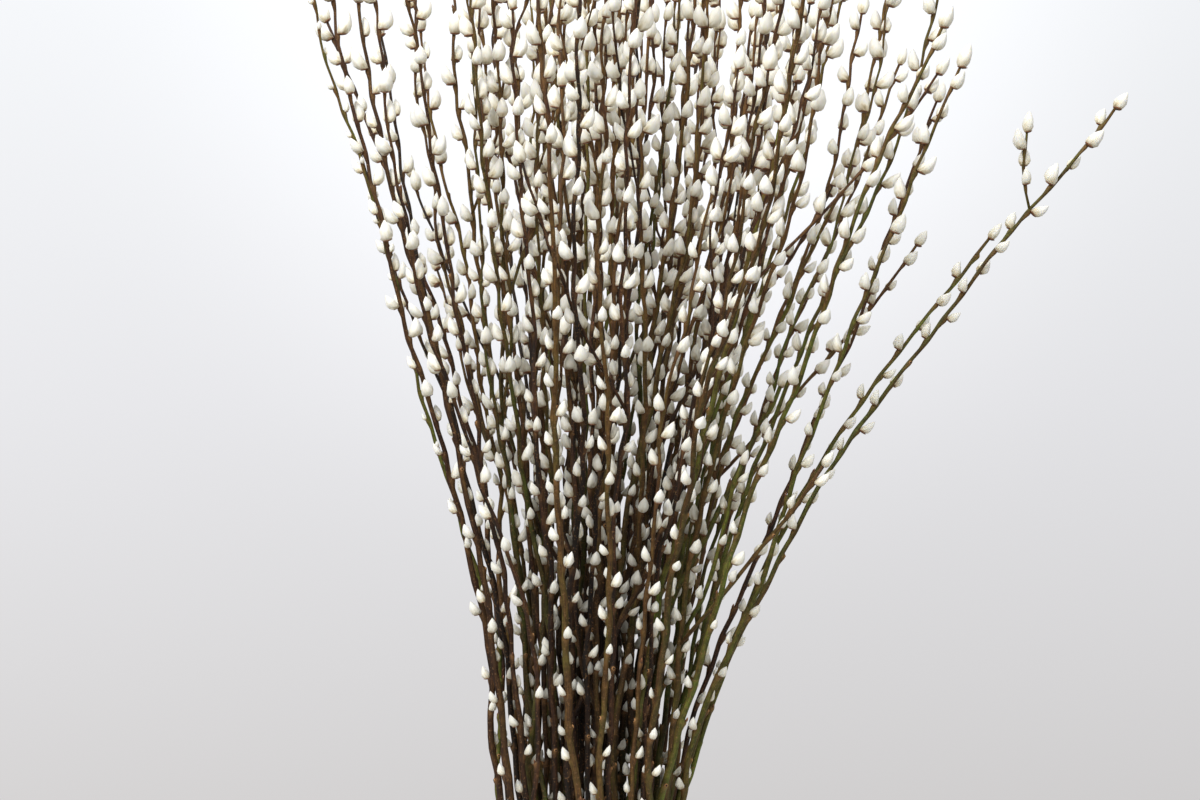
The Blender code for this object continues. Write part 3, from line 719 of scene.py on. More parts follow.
class WillowStageSettings(bpy.types.PropertyGroup):
    """The floor, the lights and the camera."""

    floor: colour_setting("Floor", "Colour of the floor", 226, 224, 221)
    floor_radius: length_setting("Floor radius", "Where the floor has faded out", 1.0)
    eye_height: length_setting("Eye height", "Height of the camera", 0.65)
    eye_distance: length_setting("Eye distance", "How far the camera is in front of the bunch", 1.8)
    eye_side: length_setting("Eye side", "How far the camera is to the right of the bunch", 0.008)
    lens: number_setting("Lens", "Focal length in millimetres", 67.5)
    key: number_setting("Key light", "Power of the key light", 60, unit="POWER")
    fill: number_setting("Fill light", "Power of the fill light", 13, unit="POWER")
    back: number_setting("Back light", "Power of the back light", 16, unit="POWER")
    sky: number_setting("Sky", "Strength of the light from all round", 0.38)
    glow: number_setting("Glow", "How much brighter the backdrop's middle is", 0.24)
    glow_reach: number_setting("Glow reach", "Where the glow has faded out", 0.30)
    glow_middle: bpy.props.FloatVectorProperty(
        name="Glow middle",
        description="Direction of the brightest place",
        size=3,
        default=(0.02, 0.985, 0.17),
    )


class Skin:
    """Gathers surfaces and makes one mesh of them."""

    def __init__(self):
        self.points, self.faces, self.places, self.finishes = [], [], [], []
        self.marks = {"shade": [], "mark": [], "tone": [], "depth": []}
        self.count = 0

    def add(self, points, faces, places, finish, shade=0.0, mark=0.0, tone=0.5, depth=0.0):
        """Adds points (n, 3), faces (m, 4) with -1 for no fourth corner, and corners' places (m, 4, 2)."""
        self.points.append(points)
        self.faces.append(np.where(faces < 0, -1, faces + self.count))
        self.places.append(places)
        self.finishes.append(np.full(len(faces), finish))
        for values, value in zip(self.marks.values(), (shade, mark, tone, depth)):
            values.append(np.broadcast_to(np.asarray(value, float), len(points)))
        self.count += len(points)

    def make(self, name, materials):
        """One object of all that was added, smooth, with its UV map and its marks as attributes."""
        points = np.concatenate(self.points).astype(np.float32)
        corners = np.concatenate(self.faces)
        there = corners >= 0
        sizes = there.sum(1)
        mesh = bpy.data.meshes.new(name)
        mesh.vertices.add(len(points))
        mesh.vertices.foreach_set("co", points.ravel())
        mesh.loops.add(int(there.sum()))
        mesh.loops.foreach_set("vertex_index", corners[there].astype(np.int32))
        mesh.polygons.add(len(corners))
        mesh.polygons.foreach_set("loop_start", (np.cumsum(sizes) - sizes).astype(np.int32))
        mesh.polygons.foreach_set("material_index", np.concatenate(self.finishes).astype(np.int32))
        mesh.update(calc_edges=True)
        mesh.shade_smooth()
        layer = mesh.uv_layers.new(name="surface")
        layer.uv.foreach_set("vector", np.concatenate(self.places)[there].astype(np.float32).ravel())
        for mark, values in self.marks.items():
            attribute = mesh.attributes.new(mark, "FLOAT", "POINT")
            attribute.data.foreach_set("value", np.concatenate(values).astype(np.float32))
        for material in materials:
            mesh.materials.append(material)
        if mesh.validate():
            raise RuntimeError(f"{name} has faces that don't hold together")
        made = bpy.data.objects.new(name, mesh)
        bpy.context.scene.collection.objects.link(made)
        return made


def closed_grid(rows, sides, start_pole=False, end_pole=False):
    """The faces of a surface of rows of points that each close on themselves, and each corner's row and side.

    Point (row, side) has number row * sides + side. Poles, where asked for, are the points after the last
    row, the start's first, and each is joined to its row by a fan. Rows count upwards when sides count
    anticlockwise.
    """
    row, side = np.indices((rows - 1, sides)).reshape(2, -1)
    corner_row = np.stack([row, row, row + 1, row + 1], 1).astype(float)
    corner_side = np.stack([side, side + 1, side + 1, side], 1)
    faces = corner_row.astype(int) * sides + corner_side % sides
    fan = np.arange(sides)
    none = np.full(sides, -1)
    pole = rows * sides
    poles = []
    if start_pole:
        poles.append((0, fan + 1, fan, pole, -1.0))
        pole += 1
    if end_pole:
        poles.append((rows - 1, fan, fan + 1, pole, float(rows)))
    for ring, first, second, tip, beyond in poles:
        corners = [ring * sides + first % sides, ring * sides + second % sides, np.full(sides, tip), none]
        faces = np.vstack([faces, np.stack(corners, 1)])
        corner_row = np.vstack([corner_row, np.tile([ring, ring, beyond, beyond], (sides, 1))])
        corner_side = np.vstack([corner_side, np.stack([first, second, fan, fan], 1)])
    return faces, corner_row, corner_side


def angles_round(sides):
    """Angles at even steps once round, the first at zero."""
    return math.tau * np.arange(sides) / sides


def painted_shade_of(points):
    """Painted shade for points deep in the bunch: 0 at its outside and 1 at its middle, fading to 0 up in the
    crown.

    It is 1 less the square of the way out from the bunch's middle, as a share of its radius at that height.
    """
    spread = np.clip(through(SPREAD, points[:, 2]), 0, None)
    radius = PACKED_RADIUS + (CROWN_RADIUS - PACKED_RADIUS) * spread[:, 0]
    reach = np.linalg.norm(points[:, :2] - spread * CROWN_MIDDLE, axis=1) / radius
    low, high = PAINTED_SHADE_FADES
    return np.clip(1 - reach**2, 0, 1) * np.clip((high - points[:, 2]) / (high - low), 0, 1)


def stem_frames(shoot, heights, table, lean):
    """The middle of a stem at each height, with the directions along it and across it.

    The middle is the shoot's smooth way, plus its lean away from its buds. The direction along is the
    difference of the way a little above and below, and the direction across is +X less its part along the
    stem.
    """
    low = np.maximum(heights - AXIS_REACH, shoot.first * LEVEL_STEP)
    high = np.minimum(heights + AXIS_REACH, shoot.last * LEVEL_STEP)
    step = np.column_stack([through(table, high) - through(table, low), high - low])
    along = step / np.linalg.norm(step, axis=1, keepdims=True)
    across = np.array([1.0, 0.0, 0.0]) - along[:, :1] * along
    across /= np.linalg.norm(across, axis=1, keepdims=True)
    middle = np.column_stack([through(table, heights) + through(lean, heights), heights])
    return middle, along, across, np.cross(along, across)


def ring_heights(low, high, buds):
    """Rings at even steps, with more round each bud, none nearer each other than a third of a millimetre."""
    even = np.linspace(low, high, max(int((high - low) / RING_STEP), 2))
    near = (buds[:, None] + np.array(NODE_RINGS)).ravel()
    heights = np.unique(np.concatenate([even, near[(near > low) & (near < high)]]))
    return heights[np.append(np.diff(heights) > 0.00033, True)]


def grow_stem(skin, shoot, looks, settings):
    """Adds a stem's bark, and the cut end of one that reaches the surface.

    The radius at a height and an angle round the stem is the shoot's own radius at that height, plus, for
    each bud, a ledge that swells over 7 mm below it and ends sharply above it, times the squared cosine of
    the angle from the bud's side where that is positive.
    """
    rng, shade, tone = looks
    buds = sorted((bud for bud in shoot.buds if bud.side >= 0), key=lambda bud: bud.height)
    at = np.array([bud.height for bud in buds])
    side = np.array([bud.side for bud in buds]) * math.tau / BUD_SIDES
    outward = np.array([bud.outward[:2] for bud in buds]).reshape(-1, 2)
    low, high = shoot.first * LEVEL_STEP, shoot.last * LEVEL_STEP
    is_cut = low <= 0
    table = np.column_stack([shoot.heights(), shoot.way[shoot.first : shoot.last + 1]])
    rest = [(low, 0.0, 0.0), (low + 0.02, 0.0, 0.0)]
    leans = [(h, *(-settings.zigzag * o)) for h, o in zip(at, outward) if h > low + FIRST_LEAN]
    lean = np.array(rest + leans + [(high + 0.002, 0.0, 0.0)])
    heights = ring_heights(low, high + 0.0006, at)
    middle, along, across, round_it = stem_frames(shoot, heights, table, lean)
    angles = angles_round(STEM_SIDES)
    radius = shoot.girth * through(GIRTH, heights)[:, 0]
    up = heights[:, None] - at
    rise = np.exp(-((up / np.where(up < 0, SWELL_BELOW, SWELL_ABOVE)) ** 2))
    facing = np.clip(np.cos(angles[:, None] - side), 0, 1) ** 2
    ledge = np.einsum("hb,ab->ha", rise, facing)
    size = radius[:, None] * (1 + SWELL_ROUND * rise.sum(1)[:, None]) + settings.ledge * ledge
    waver = np.column_stack([np.linspace(low, high, WAVER_STEPS), rng.normal(0, WAVER, WAVER_STEPS)])
    size = size * (1 + through(waver, heights))
    section = np.cos(angles)[:, None] * across[:, None] + np.sin(angles)[:, None] * round_it[:, None]
    points = middle[:, None] + size[..., None] * section
    if is_cut:
        points[0] -= (points[0][:, 2] / along[0][2])[:, None] * along[0]
    count = len(heights)
    ends = points[[0, -1]].mean(1)[int(is_cut) :]
    faces, row, turn = closed_grid(count, STEM_SIDES, not is_cut, True)
    places = np.stack([turn / STEM_SIDES, heights[np.clip(row, 0, count - 1).astype(int)]], -1)
    crown = np.clip((heights - CROWN[0]) / (CROWN[1] - CROWN[0]), 0, 1)
    hue = np.clip(shade + (TIP_BARK - shade) * crown * TIP_SHARE, 0, 1)
    # Painted shade deep in the bunch, less the painted light that lightens the bark in the crown.
    depth = painted_shade_of(middle) - crown * CROWN_PAINTED_LIGHT / INNER_PAINTED_SHADE
    hue, depth = (np.append(np.repeat(v, STEM_SIDES), np.repeat(v[-1], len(ends))) for v in (hue, depth))
    mark = np.append(np.clip(ledge, 0, 1).ravel() ** 1.5, np.zeros(len(ends)))
    skin.add(np.vstack([points.reshape(-1, 3), ends]), faces, places, BARK, hue, mark, tone, depth)
    if is_cut:
        cut_end(skin, points[0], tone)


def cut_end(skin, rim, tone):
    """Closes a stem's foot with a flat cut: rings of points at shares of the way from the rim to the pith."""
    shares = np.array([0.25, 0.6, 0.93, 1.0])
    pith = rim.mean(0)
    points = (pith + shares[:, None, None] * (rim - pith)).reshape(-1, 3)
    points = np.vstack([points, pith])
    faces, row, turn = closed_grid(len(shares), len(rim), start_pole=True)
    share = np.append(shares, 0.0)[np.where(row < 0, -1, row).astype(int)]
    places = np.stack([turn / len(rim), share], -1)
    skin.add(points, faces, places, WOOD, mark=np.append(np.repeat(shares, len(rim)), 0.0), tone=tone)


def egg(shares, taper):
    """A catkin's half-width at shares of its length: the share's root times a power of the rest."""
    peak = 0.5 / (0.5 + taper)
    return np.sqrt(shares) * (1 - shares) ** taper / (np.sqrt(peak) * (1 - peak) ** taper)


@dataclass
class Forms:
    """Many catkins as arrays: base, axis, two directions across it, sizes, and which ones end their shoot."""

    base: np.ndarray
    axis: np.ndarray
    outside: np.ndarray
    beside: np.ndarray
    length: np.ndarray
    radius: np.ndarray
    ends: np.ndarray
    taper: np.ndarray


def forms_of(catkins):
    """The catkins' arrays. Outside is the way out from the stem less its part along the axis."""

    def gathered(name):
        return np.array([getattr(catkin, name) for catkin in catkins])

    axis, outward = gathered("axis"), gathered("outward")
    outside = outward - (outward * axis).sum(1, keepdims=True) * axis
    outside /= np.linalg.norm(outside, axis=1, keepdims=True)
    taper = np.interp(gathered("height"), *zip(*TAPER))
    beside = np.cross(axis, outside)
    ends = gathered("side") < 0
    return Forms(gathered("base"), axis, outside, beside, gathered("length"), gathered("radius"), ends, taper)


def round_middle(forms, middle, width, flat=1.0):
    """Points round each middle: the width times the cosine of the angle outside, and its sine beside."""
    angles = angles_round(CATKIN_SIDES)
    out = (width * np.cos(angles) * flat)[..., None] * forms.outside[:, None, None]
    return middle + out + (width * np.sin(angles))[..., None] * forms.beside[:, None, None]


def add_forms(skin, points, poles, heights, finish, **marks):
    """Adds one surface for each catkin or bud, closed by its poles.

    Points are (catkin, row, side, 3) and poles (catkin, pole, 3), one at the base and perhaps one at the
    end. Heights are the places of the first pole, the rows and the last pole up the surface, and marks are
    one number for each catkin.
    """
    number, rows, sides, _ = points.shape
    points = np.concatenate([points.reshape(number, -1, 3), poles], 1)
    each = points.shape[1]
    faces, row, turn = closed_grid(rows, sides, True, poles.shape[1] == 2)
    many = np.where(faces < 0, -1, faces + (np.arange(number) * each)[:, None, None]).reshape(-1, 4)
    place = np.stack([turn / sides, np.asarray(heights)[(row + 1).astype(int)]], -1)
    marks = {name: np.repeat(value, each) for name, value in marks.items()}
    skin.add(points.reshape(-1, 3), many, np.tile(place, (number, 1, 1)), finish, **marks)


def catkin_middle(forms, share, bow):
    """The middle line of each catkin at shares of its length.

    It runs straight along the axis, bowed outside by a parabola, and its first third curves in to the bark.
    """
    inset = np.where(share < INSET_SHARE, (1 - share / INSET_SHARE) ** 2, 0.0)
    out = np.where(forms.ends, 0.0, 4 * bow * forms.length)[:, None] * share * (1 - share)
    out = out - np.where(forms.ends, 0.0, INSET * CATKIN_STANDOFF * forms.radius)[:, None] * inset
    along = (share * forms.length[:, None])[..., None] * forms.axis[:, None]
    return forms.base[:, None] + along + out[..., None] * forms.outside[:, None]


def add_closed_forms(skin, forms, share, width, bow, finish, flat=1.0, **marks):
    """Adds forms whose rings lie at shares of their middle lines, with a pole at either end."""
    points = round_middle(forms, catkin_middle(forms, share, bow)[:, :, None], width, flat)
    poles = catkin_middle(forms, np.array([0.0, 1.0]), bow)
    add_forms(skin, points, poles, (0.0, *share, 1.0), finish, **marks)


def grow_catkins_of(skin, catkins, rng, settings):
    """Adds the silk of a shoot's catkins: eggs with a pointed end, whose sections are uneven and rather flat.

    At a share of the length and an angle, the point is the middle line there, plus the egg's half-width times
    the cosine of the angle outside and its sine sideways, each ruffled a little.
    """
    forms = forms_of(catkins)
    share = np.array(CATKIN_ROWS)
    number = len(catkins)
    ruffle = 1 + rng.normal(0, settings.ruffle, (number, len(share), CATKIN_SIDES))
    flat = 1 - FLATTEST * rng.random(number)[:, None, None]
    width = (forms.radius[:, None] * egg(share, forms.taper[:, None]))[..., None] * ruffle
    # Painted light brightens the silk with height, and painted shade darkens it deep in the bunch.
    painted_light_by_height = np.clip((forms.base[:, 2] - SILK_LIT_HEIGHTS[0]) / (SILK_LIT_HEIGHTS[1] - SILK_LIT_HEIGHTS[0]), 0, 1)
    marks = {"tone": rng.random(number), "shade": painted_light_by_height, "depth": painted_shade_of(forms.base)}
    add_closed_forms(skin, forms, share, width, settings.bow, SILK, flat, **marks)


def grow_cups(skin, catkins, rng, settings):
    """Adds the bud scale at the foot of each catkin: a cup a little wider than the silk, tallest outside.

    Its rows run from the base to its brim. The brim is at a share of the catkin's length that grows from
    inside to outside with the cosine of the angle, and the cup's wall folds back in at the brim.
    """
    forms = forms_of(catkins)
    number = len(catkins)
    uneven = CUP_EVEN + (1 - CUP_EVEN) * np.cos(angles_round(CATKIN_SIDES))
    tall = rng.uniform(*CUP_REACH, number)[:, None] * uneven
    share = np.array(CUP_ROWS)[:, None] * tall[:, None]
    middle = catkin_middle(forms, share.reshape(number, -1), settings.bow).reshape(*share.shape, 3)
    wider = np.array(CUP_WIDTHS)[:, None]
    width = forms.radius[:, None, None] * egg(share, forms.taper[:, None, None]) * wider + CUP_THICK
    pole = catkin_middle(forms, np.zeros(1), settings.bow) - CUP_FOOT * forms.axis[:, None]
    add_forms(skin, round_middle(forms, middle, width), pole, CUP_PLACES, CUP, tone=rng.random(number))


def closed_bud(catkin, rng):
    """The closed bud at a place where no catkin has opened: small, slim and close to the stem."""
    length = rng.uniform(*CLOSED_LENGTH)
    radius = length * CLOSED_WIDTH
    axis = unit(catkin.axis - CLOSED_LEAN * np.dot(catkin.axis, catkin.outward) * catkin.outward)
    base = catkin.base + catkin.outward * CATKIN_STANDOFF * (radius - catkin.radius)
    return Catkin(catkin.height, catkin.side, catkin.order, base, axis, catkin.outward, length, radius)


def scar_of(shoot, bud, rng):
    """The round scar where a catkin has dropped off: a low dome on the bark, as a short and wide catkin."""
    width = rng.uniform(*SCAR_WIDTH)
    up = shoot.axes(bud.height)[0]
    base = shoot.point(bud.height) + bud.outward * (shoot.radius(bud.height) - SCAR_SINK)
    return Catkin(bud.height, -1, 0, base, unit(bud.outward + SCAR_TILT * up), up, SCAR_HEIGHT, width)


def grow_scars(skin, scars, rng):
    """Adds scars as domes, with half-widths that fall as the root of what is left of their height."""
    forms = forms_of(scars)
    share = np.array(SCAR_ROWS)
    width = forms.radius[:, None, None] * np.sqrt(1 - share)[:, None] * np.ones(CATKIN_SIDES)
    add_closed_forms(skin, forms, share, width, 0.0, SCAR, tone=rng.random(len(scars)))


def grow_closed_buds(skin, buds, rng):
    """Adds closed buds, as slim eggs in the bud scale's own finish."""
    forms = forms_of(buds)
    share = np.array(CATKIN_ROWS[::2])
    width = (forms.radius[:, None] * egg(share, forms.taper[:, None]))[..., None] * np.ones(CATKIN_SIDES)
    add_closed_forms(skin, forms, share, width, CLOSED_BOW, CUP, tone=rng.random(len(buds)))


def swept(path, radius):
    """A tube along a path of points, closed to a pole at either end, with a radius (row, angle) at each.

    The directions across are the way out from the Z axis less its part along the path, and their cross
    product.
    """
    along = np.gradient(path, axis=0)
    along /= np.linalg.norm(along, axis=1, keepdims=True)
    out = path * np.array([1.0, 1.0, 0.0])
    out -= (out * along).sum(1, keepdims=True) * along
    out /= np.linalg.norm(out, axis=1, keepdims=True)
    other = np.cross(along, out)
    angles = angles_round(radius.shape[1])
    points = path[:, None] + (radius * np.cos(angles))[..., None] * out[:, None]
    points = points + (radius * np.sin(angles))[..., None] * other[:, None]
    return np.vstack([points.reshape(-1, 3), path[:1], path[-1:]])


def lay_cord(skin, path, settings):
    """Adds twisted cord along a path.

    The radius at a distance along and an angle is the twine's own, less a groove where the cosine of half
    the strands times the angle, turned by one turn a lay, comes to zero. It tapers over the last 2 mm of
    each end.
    """
    step = np.linalg.norm(np.diff(path, axis=0), axis=1)
    run = np.concatenate([[0.0], np.cumsum(step)])
    angles = angles_round(CORD_SIDES)
    turned_by = math.tau * run / settings.lay
    lobe = np.abs(np.cos(settings.strands * (angles - turned_by[:, None]) / 2))
    taper = np.clip(np.minimum(run, run[-1] - run) / CORD_END, CORD_END_GIRTH, 1)
    radius = TWINE_RADIUS * taper[:, None] * (1 - GROOVE + GROOVE * lobe**GROOVE_POWER)
    faces, row, turn = closed_grid(len(path), CORD_SIDES, True, True)
    reach = run[np.clip(row, 0, len(path) - 1).astype(int)]
    places = np.stack([turn / CORD_SIDES, reach], -1)
    skin.add(swept(path, radius), faces, places, 0, mark=np.append(lobe.ravel(), [1.0, 1.0]))


def twine_path(inner):
    """The middle of the twine: out of the knot, down to the lowest turn, round and up, and back to the knot.

    The angle grows evenly. The height climbs by one step a turn between two smooth ends that cross over the
    other turns, where the cord lies one cord's width further out.
    """
    s = np.linspace(0.0, TWINE_TURNS, TWINE_TURNS * TURN_POINTS)
    low = -TWINE_STEP * (TWINE_TURNS - 1) / 2
    wound = low + TWINE_STEP * (TWINE_TURNS - 1) * s / TWINE_TURNS
    ends = np.minimum(s, TWINE_TURNS - s)
    blend = np.clip(ends / CROSSING, 0, 1)
    blend = blend * blend * (3 - 2 * blend)
    height = TIE_HEIGHT + wound * blend
    out = inner + TWINE_RADIUS * (1 + CROSSING_OUT * (1 - blend))
    angle = -math.pi / 2 + math.tau * s
    return np.column_stack([out * np.cos(angle), out * np.sin(angle), height])


def knot_path(front):
    """The middle of the twine in the knot: a trefoil, pressed flat against the turns.

    Sideways it is sin t + 2 sin 2t, upwards cos t - 2 cos 2t, and outwards -sin 3t.
    """
    t = np.linspace(-KNOT_RUN_ON, math.tau + KNOT_RUN_ON, KNOT_POINTS)
    aside, outward, upward = KNOT_SIZE
    x = (np.sin(t) + 2 * np.sin(2 * t)) * aside
    z = (np.cos(t) - 2 * np.cos(2 * t)) * upward
    y = -np.sin(3 * t) * outward
    return np.column_stack([x, -front + y, TIE_HEIGHT + z])


def tie_inner():
    """The inside of the tie: just clear of the bark of the outermost branches."""
    stoutest = max(GIRTH_SPREAD) * GIRTH_BY_REACH[1] * reading(GIRTH, TIE_HEIGHT)
    return (PACKED_RADIUS + stoutest * GIRTH_ALLOWANCE + TIE_CLEARANCE) / math.cos(math.pi / TWINE_SEGMENTS)


class Tree:
    """Adds nodes to a node tree. Inputs are given by number or name, each as a socket to link or a value."""

    def __init__(self, tree):
        self.nodes, self.links = tree.nodes, tree.links

    def put(self, socket, value):
        """Links a socket to an input or sets it. A colour gets its alpha here."""
        if isinstance(value, bpy.types.NodeSocket):
            self.links.new(value, socket)
        elif socket.type == "RGBA":
            socket.default_value = (*value, 1.0)
        else:
            socket.default_value = value

    def add(self, kind, inputs=(), **settings):
        """A node of a kind with settings and inputs, as its outputs."""
        node = self.nodes.new("ShaderNode" + kind)
        for name, value in settings.items():
            setattr(node, name, value)
        for place, value in dict(inputs).items():
            self.put(node.inputs[place], value)
        return node.outputs

    def math(self, kind, *values):
        return self.add("Math", enumerate(values), operation=kind)[0]

    def scaled(self, value, by, plus=0.0):
        """A value times another, plus a third."""
        return self.math("MULTIPLY_ADD", value, by, plus)

    def mapped(self, value, low, high, start=0.0, end=1.0, way="LINEAR"):
        """A value carried from one range over to another."""
        ends = {"Value": value, "From Min": low, "From Max": high, "To Min": start, "To Max": end}
        return self.add("MapRange", ends, interpolation_type=way)["Result"]

    def mix(self, kind, factor, first, second):
        return self.add("Mix", {0: factor, 6: first, 7: second}, data_type="RGBA", blend_type=kind)[2]

    def shaded(self, colour, *levels):
        """A colour times each of the levels."""
        level = levels[0]
        for further in levels[1:]:
            level = self.math("MULTIPLY", level, further)
        return self.mix("MULTIPLY", 1.0, colour, self.add("CombineColor", {0: level, 1: level, 2: level})[0])

    def ramp(self, source, stops):
        """A colour read from a scale of (place, colour) stops."""
        node = self.nodes.new("ShaderNodeValToRGB")
        self.links.new(source, node.inputs["Fac"])
        elements = node.color_ramp.elements
        stops = list(stops)
        while len(elements) < len(stops):
            elements.new(0.5)
        for element, (place, shown) in zip(elements, stops):
            element.position = place
            element.color = (*np.asarray(shown, float).tolist(), 1.0)
        return node.outputs["Color"]

    def bump(self, height, distance, strength):
        return self.add("Bump", {"Height": height, "Distance": distance, "Strength": strength})["Normal"]

    def mark(self, name):
        return self.add("Attribute", attribute_name=name)["Fac"]

    def surface(self):
        """The place round a surface, as X from 0 to 1, and along it, as Y."""
        return self.add("SeparateXYZ", {0: self.add("UVMap", uv_map="surface")["UV"]})

    def shared(self, name, **values):
        """The mask of a shared node group, which is made where it isn't there yet."""
        return self.add("Group", values, node_tree=bpy.data.node_groups.get(name) or SHARED[name]())[0]


class Finish(Tree):
    """A material that is being made: its node tree, with its shader."""

    def __init__(self, name):
        self.material = bpy.data.materials.new(name)
        self.material.use_nodes = True
        super().__init__(self.material.node_tree)

    def shade(self, **inputs):
        """Sets or links inputs of the shader, named with _ for each space, and gives the material."""
        for name, value in inputs.items():
            self.put(self.nodes["Principled BSDF"].inputs[name.replace("_", " ")], value)
        return self.material


def group_of(name, **inputs):
    """A new group that puts out a mask: the group, its tree, its numbers' sockets and the mask's socket."""
    group = bpy.data.node_groups.new(name, "ShaderNodeTree")
    for label, value in inputs.items():
        socket = group.interface.new_socket(name=label, in_out="INPUT", socket_type="NodeSocketFloat")
        socket.default_value = value
    group.interface.new_socket(name="Mask", in_out="OUTPUT", socket_type="NodeSocketFloat")
    into, out = group.nodes.new("NodeGroupInput"), group.nodes.new("NodeGroupOutput")
    return group, Tree(group), into.outputs, out.inputs["Mask"]


def make_blotches():
    """Cloudy patches on Object coordinates: noise squeezed between two levels."""
    group, tree, into, mask = group_of("Blotches", Scale=60.0, Detail=3.0, Low=0.35, High=0.65)
    place = tree.add("TexCoord")["Object"]
    noise = tree.add("TexNoise", {"Vector": place, "Scale": into["Scale"], "Detail": into["Detail"]})["Fac"]
    tree.put(mask, tree.mapped(noise, into["Low"], into["High"]))
    return group


def make_strands():
    """Fine lines along a surface: noise on its own UV map, stretched by how often it changes each way."""
    group, tree, into, mask = group_of("Strands", Round=14.0, Along=3.0, Shift=0.0, Detail=2.0)
    parts = tree.surface()
    turn = tree.math("MULTIPLY", parts["X"], math.tau)
    reach = tree.math("DIVIDE", into["Round"], math.tau)
    east = tree.math("MULTIPLY", tree.math("COSINE", turn), reach)
    north = tree.math("MULTIPLY", tree.math("SINE", turn), reach)
    up = tree.math("MULTIPLY", parts["Y"], into["Along"])
    place = tree.add("CombineXYZ", {0: tree.math("ADD", east, into["Shift"]), 1: north, 2: up})[0]
    tree.put(mask, tree.add("TexNoise", {"Vector": place, "Scale": 1.0, "Detail": into["Detail"]})["Fac"])
    return group


SHARED = {"Blotches": make_blotches, "Strands": make_strands}


def make_bark(settings):
    """Smooth bark: its colour is read from a scale, with streaks, blotches, pale pores and tan ledges."""
    bark = Finish("willow_bark")
    cloud = bark.shared("Blotches", Scale=24.0, Low=0.32, High=0.68)
    mottle = bark.shared("Blotches", Scale=260.0, Detail=4.0, Low=0.34, High=0.66)
    streak = bark.shared("Strands", Round=19.0, Along=85.0, Detail=4.0)
    pores = bark.shared("Blotches", Scale=620.0, Detail=1.0, Low=0.62, High=0.70)
    tint = bark.mark("tone")
    sunny = bark.math("COSINE", bark.scaled(tint, 23.0, bark.math("MULTIPLY", bark.surface()["X"], math.tau)))
    shift = bark.math("ADD", bark.scaled(cloud, 0.32, -0.16), bark.math("MULTIPLY", sunny, BLUSH))
    shift = bark.math("ADD", bark.scaled(streak, 0.50, shift), -0.25)
    kinds = (settings.dark, settings.red, settings.tan, settings.olive, settings.green)
    shown = bark.ramp(bark.math("ADD", bark.mark("shade"), shift), zip((0.0, 0.22, 0.48, 0.72, 1.0), kinds))
    lines = bark.scaled(streak, 2.1, -0.16)
    spots = bark.scaled(mottle, 0.62, 0.62)
    # Painted shade darkens the bark deep in the bunch, and painted light lightens it in the crown.
    painted_shade_level = bark.scaled(bark.mark("depth"), -INNER_PAINTED_SHADE, 1.0)
    shown = bark.shaded(shown, bark.scaled(tint, 0.5, 0.55), lines, spots, painted_shade_level)
    dots = bark.math("MULTIPLY", pores, 0.55)
    shown = bark.mix("MIX", dots, shown, settings.scar)
    shown = bark.mix("MIX", bark.math("MULTIPLY", bark.mark("mark"), 0.75), shown, settings.scar)
    return bark.shade(
        Base_Color=shown,
        Roughness=bark.scaled(streak, 0.40, 0.36),
        Normal=bark.bump(bark.math("ADD", streak, dots), 0.0006, 0.8),
        Specular_IOR_Level=0.3,
    )


def make_silk(settings):
    """Silver silk: greyer and yellower near the base, whiter to the point, in fine hairs along it."""
    silk = Finish("catkin_silk")
    tone = silk.mark("tone")
    shift = silk.math("MULTIPLY", tone, 37.0)
    hair = silk.shared("Strands", Round=46.0, Along=5.0, Detail=3.0, Shift=shift)
    tuft = silk.shared("Strands", Round=9.0, Along=3.2, Detail=1.0, Shift=shift)
    lifted = silk.math("ADD", silk.scaled(tuft, 0.7, silk.surface()["Y"]), -0.35)
    base, point = np.array(settings.shade), np.array(settings.silk)
    dim, middle = base * (0.60, 0.55, 0.48), base * 0.35 + point * 0.65
    stops = ((0.0, dim), (0.12, base), (0.36, middle), (0.70, point))
    # Painted light brightens the silk with height, and painted shade darkens it deep in the bunch.
    painted_light_by_height = silk.scaled(silk.mark("shade"), 0.24, 0.76)
    painted_shade_level = silk.scaled(silk.mark("depth"), -SILK_PAINTED_SHADE, 1.0)
    levels = (silk.scaled(hair, 0.36, 0.89), silk.scaled(tone, 0.16, painted_light_by_height), painted_shade_level)
    return silk.shade(
        Base_Color=silk.shaded(silk.ramp(lifted, stops), *levels),
        Normal=silk.bump(silk.scaled(tuft, 1.6, hair), 0.0006, 0.45),
        Roughness=0.72,
        Subsurface_Weight=0.35,
        Subsurface_Radius=(1.0, 0.9, 0.75),
        Subsurface_Scale=0.004,
        Sheen_Weight=0.6,
        Sheen_Roughness=0.45,
        Sheen_Tint=(1.0, 0.99, 0.96),
        Specular_IOR_Level=0.25,
    )


def make_cup(settings):
    """Glossy brown bud scale, darker at its foot and paler at its dry brim."""
    cup = Finish("bud_scale")
    brown = np.array(settings.cup)
    streak = cup.shared("Strands", Round=18.0, Along=4.0)
    lifted = cup.math("ADD", cup.scaled(streak, 0.5, cup.surface()["Y"]), -0.25)
    shown = cup.ramp(lifted, ((0.0, brown * 0.5), (0.5, brown), (0.85, brown * 1.9)))
    return cup.shade(Base_Color=shown, Normal=cup.bump(streak, 0.0003, 0.5), Roughness=0.38)


def make_scar(settings):
    """A bud scar: a pale corky ring round a dark middle."""
    scar = Finish("bud_scar")
    rim = np.array(settings.scar)
    stops = ((0.0, rim * 0.7), (0.45, rim * (1.7, 1.65, 1.6)), (0.70, rim * 1.4), (0.80, linear(26, 18, 14)))
    return scar.shade(Base_Color=scar.ramp(scar.surface()["Y"], stops), Roughness=0.8)


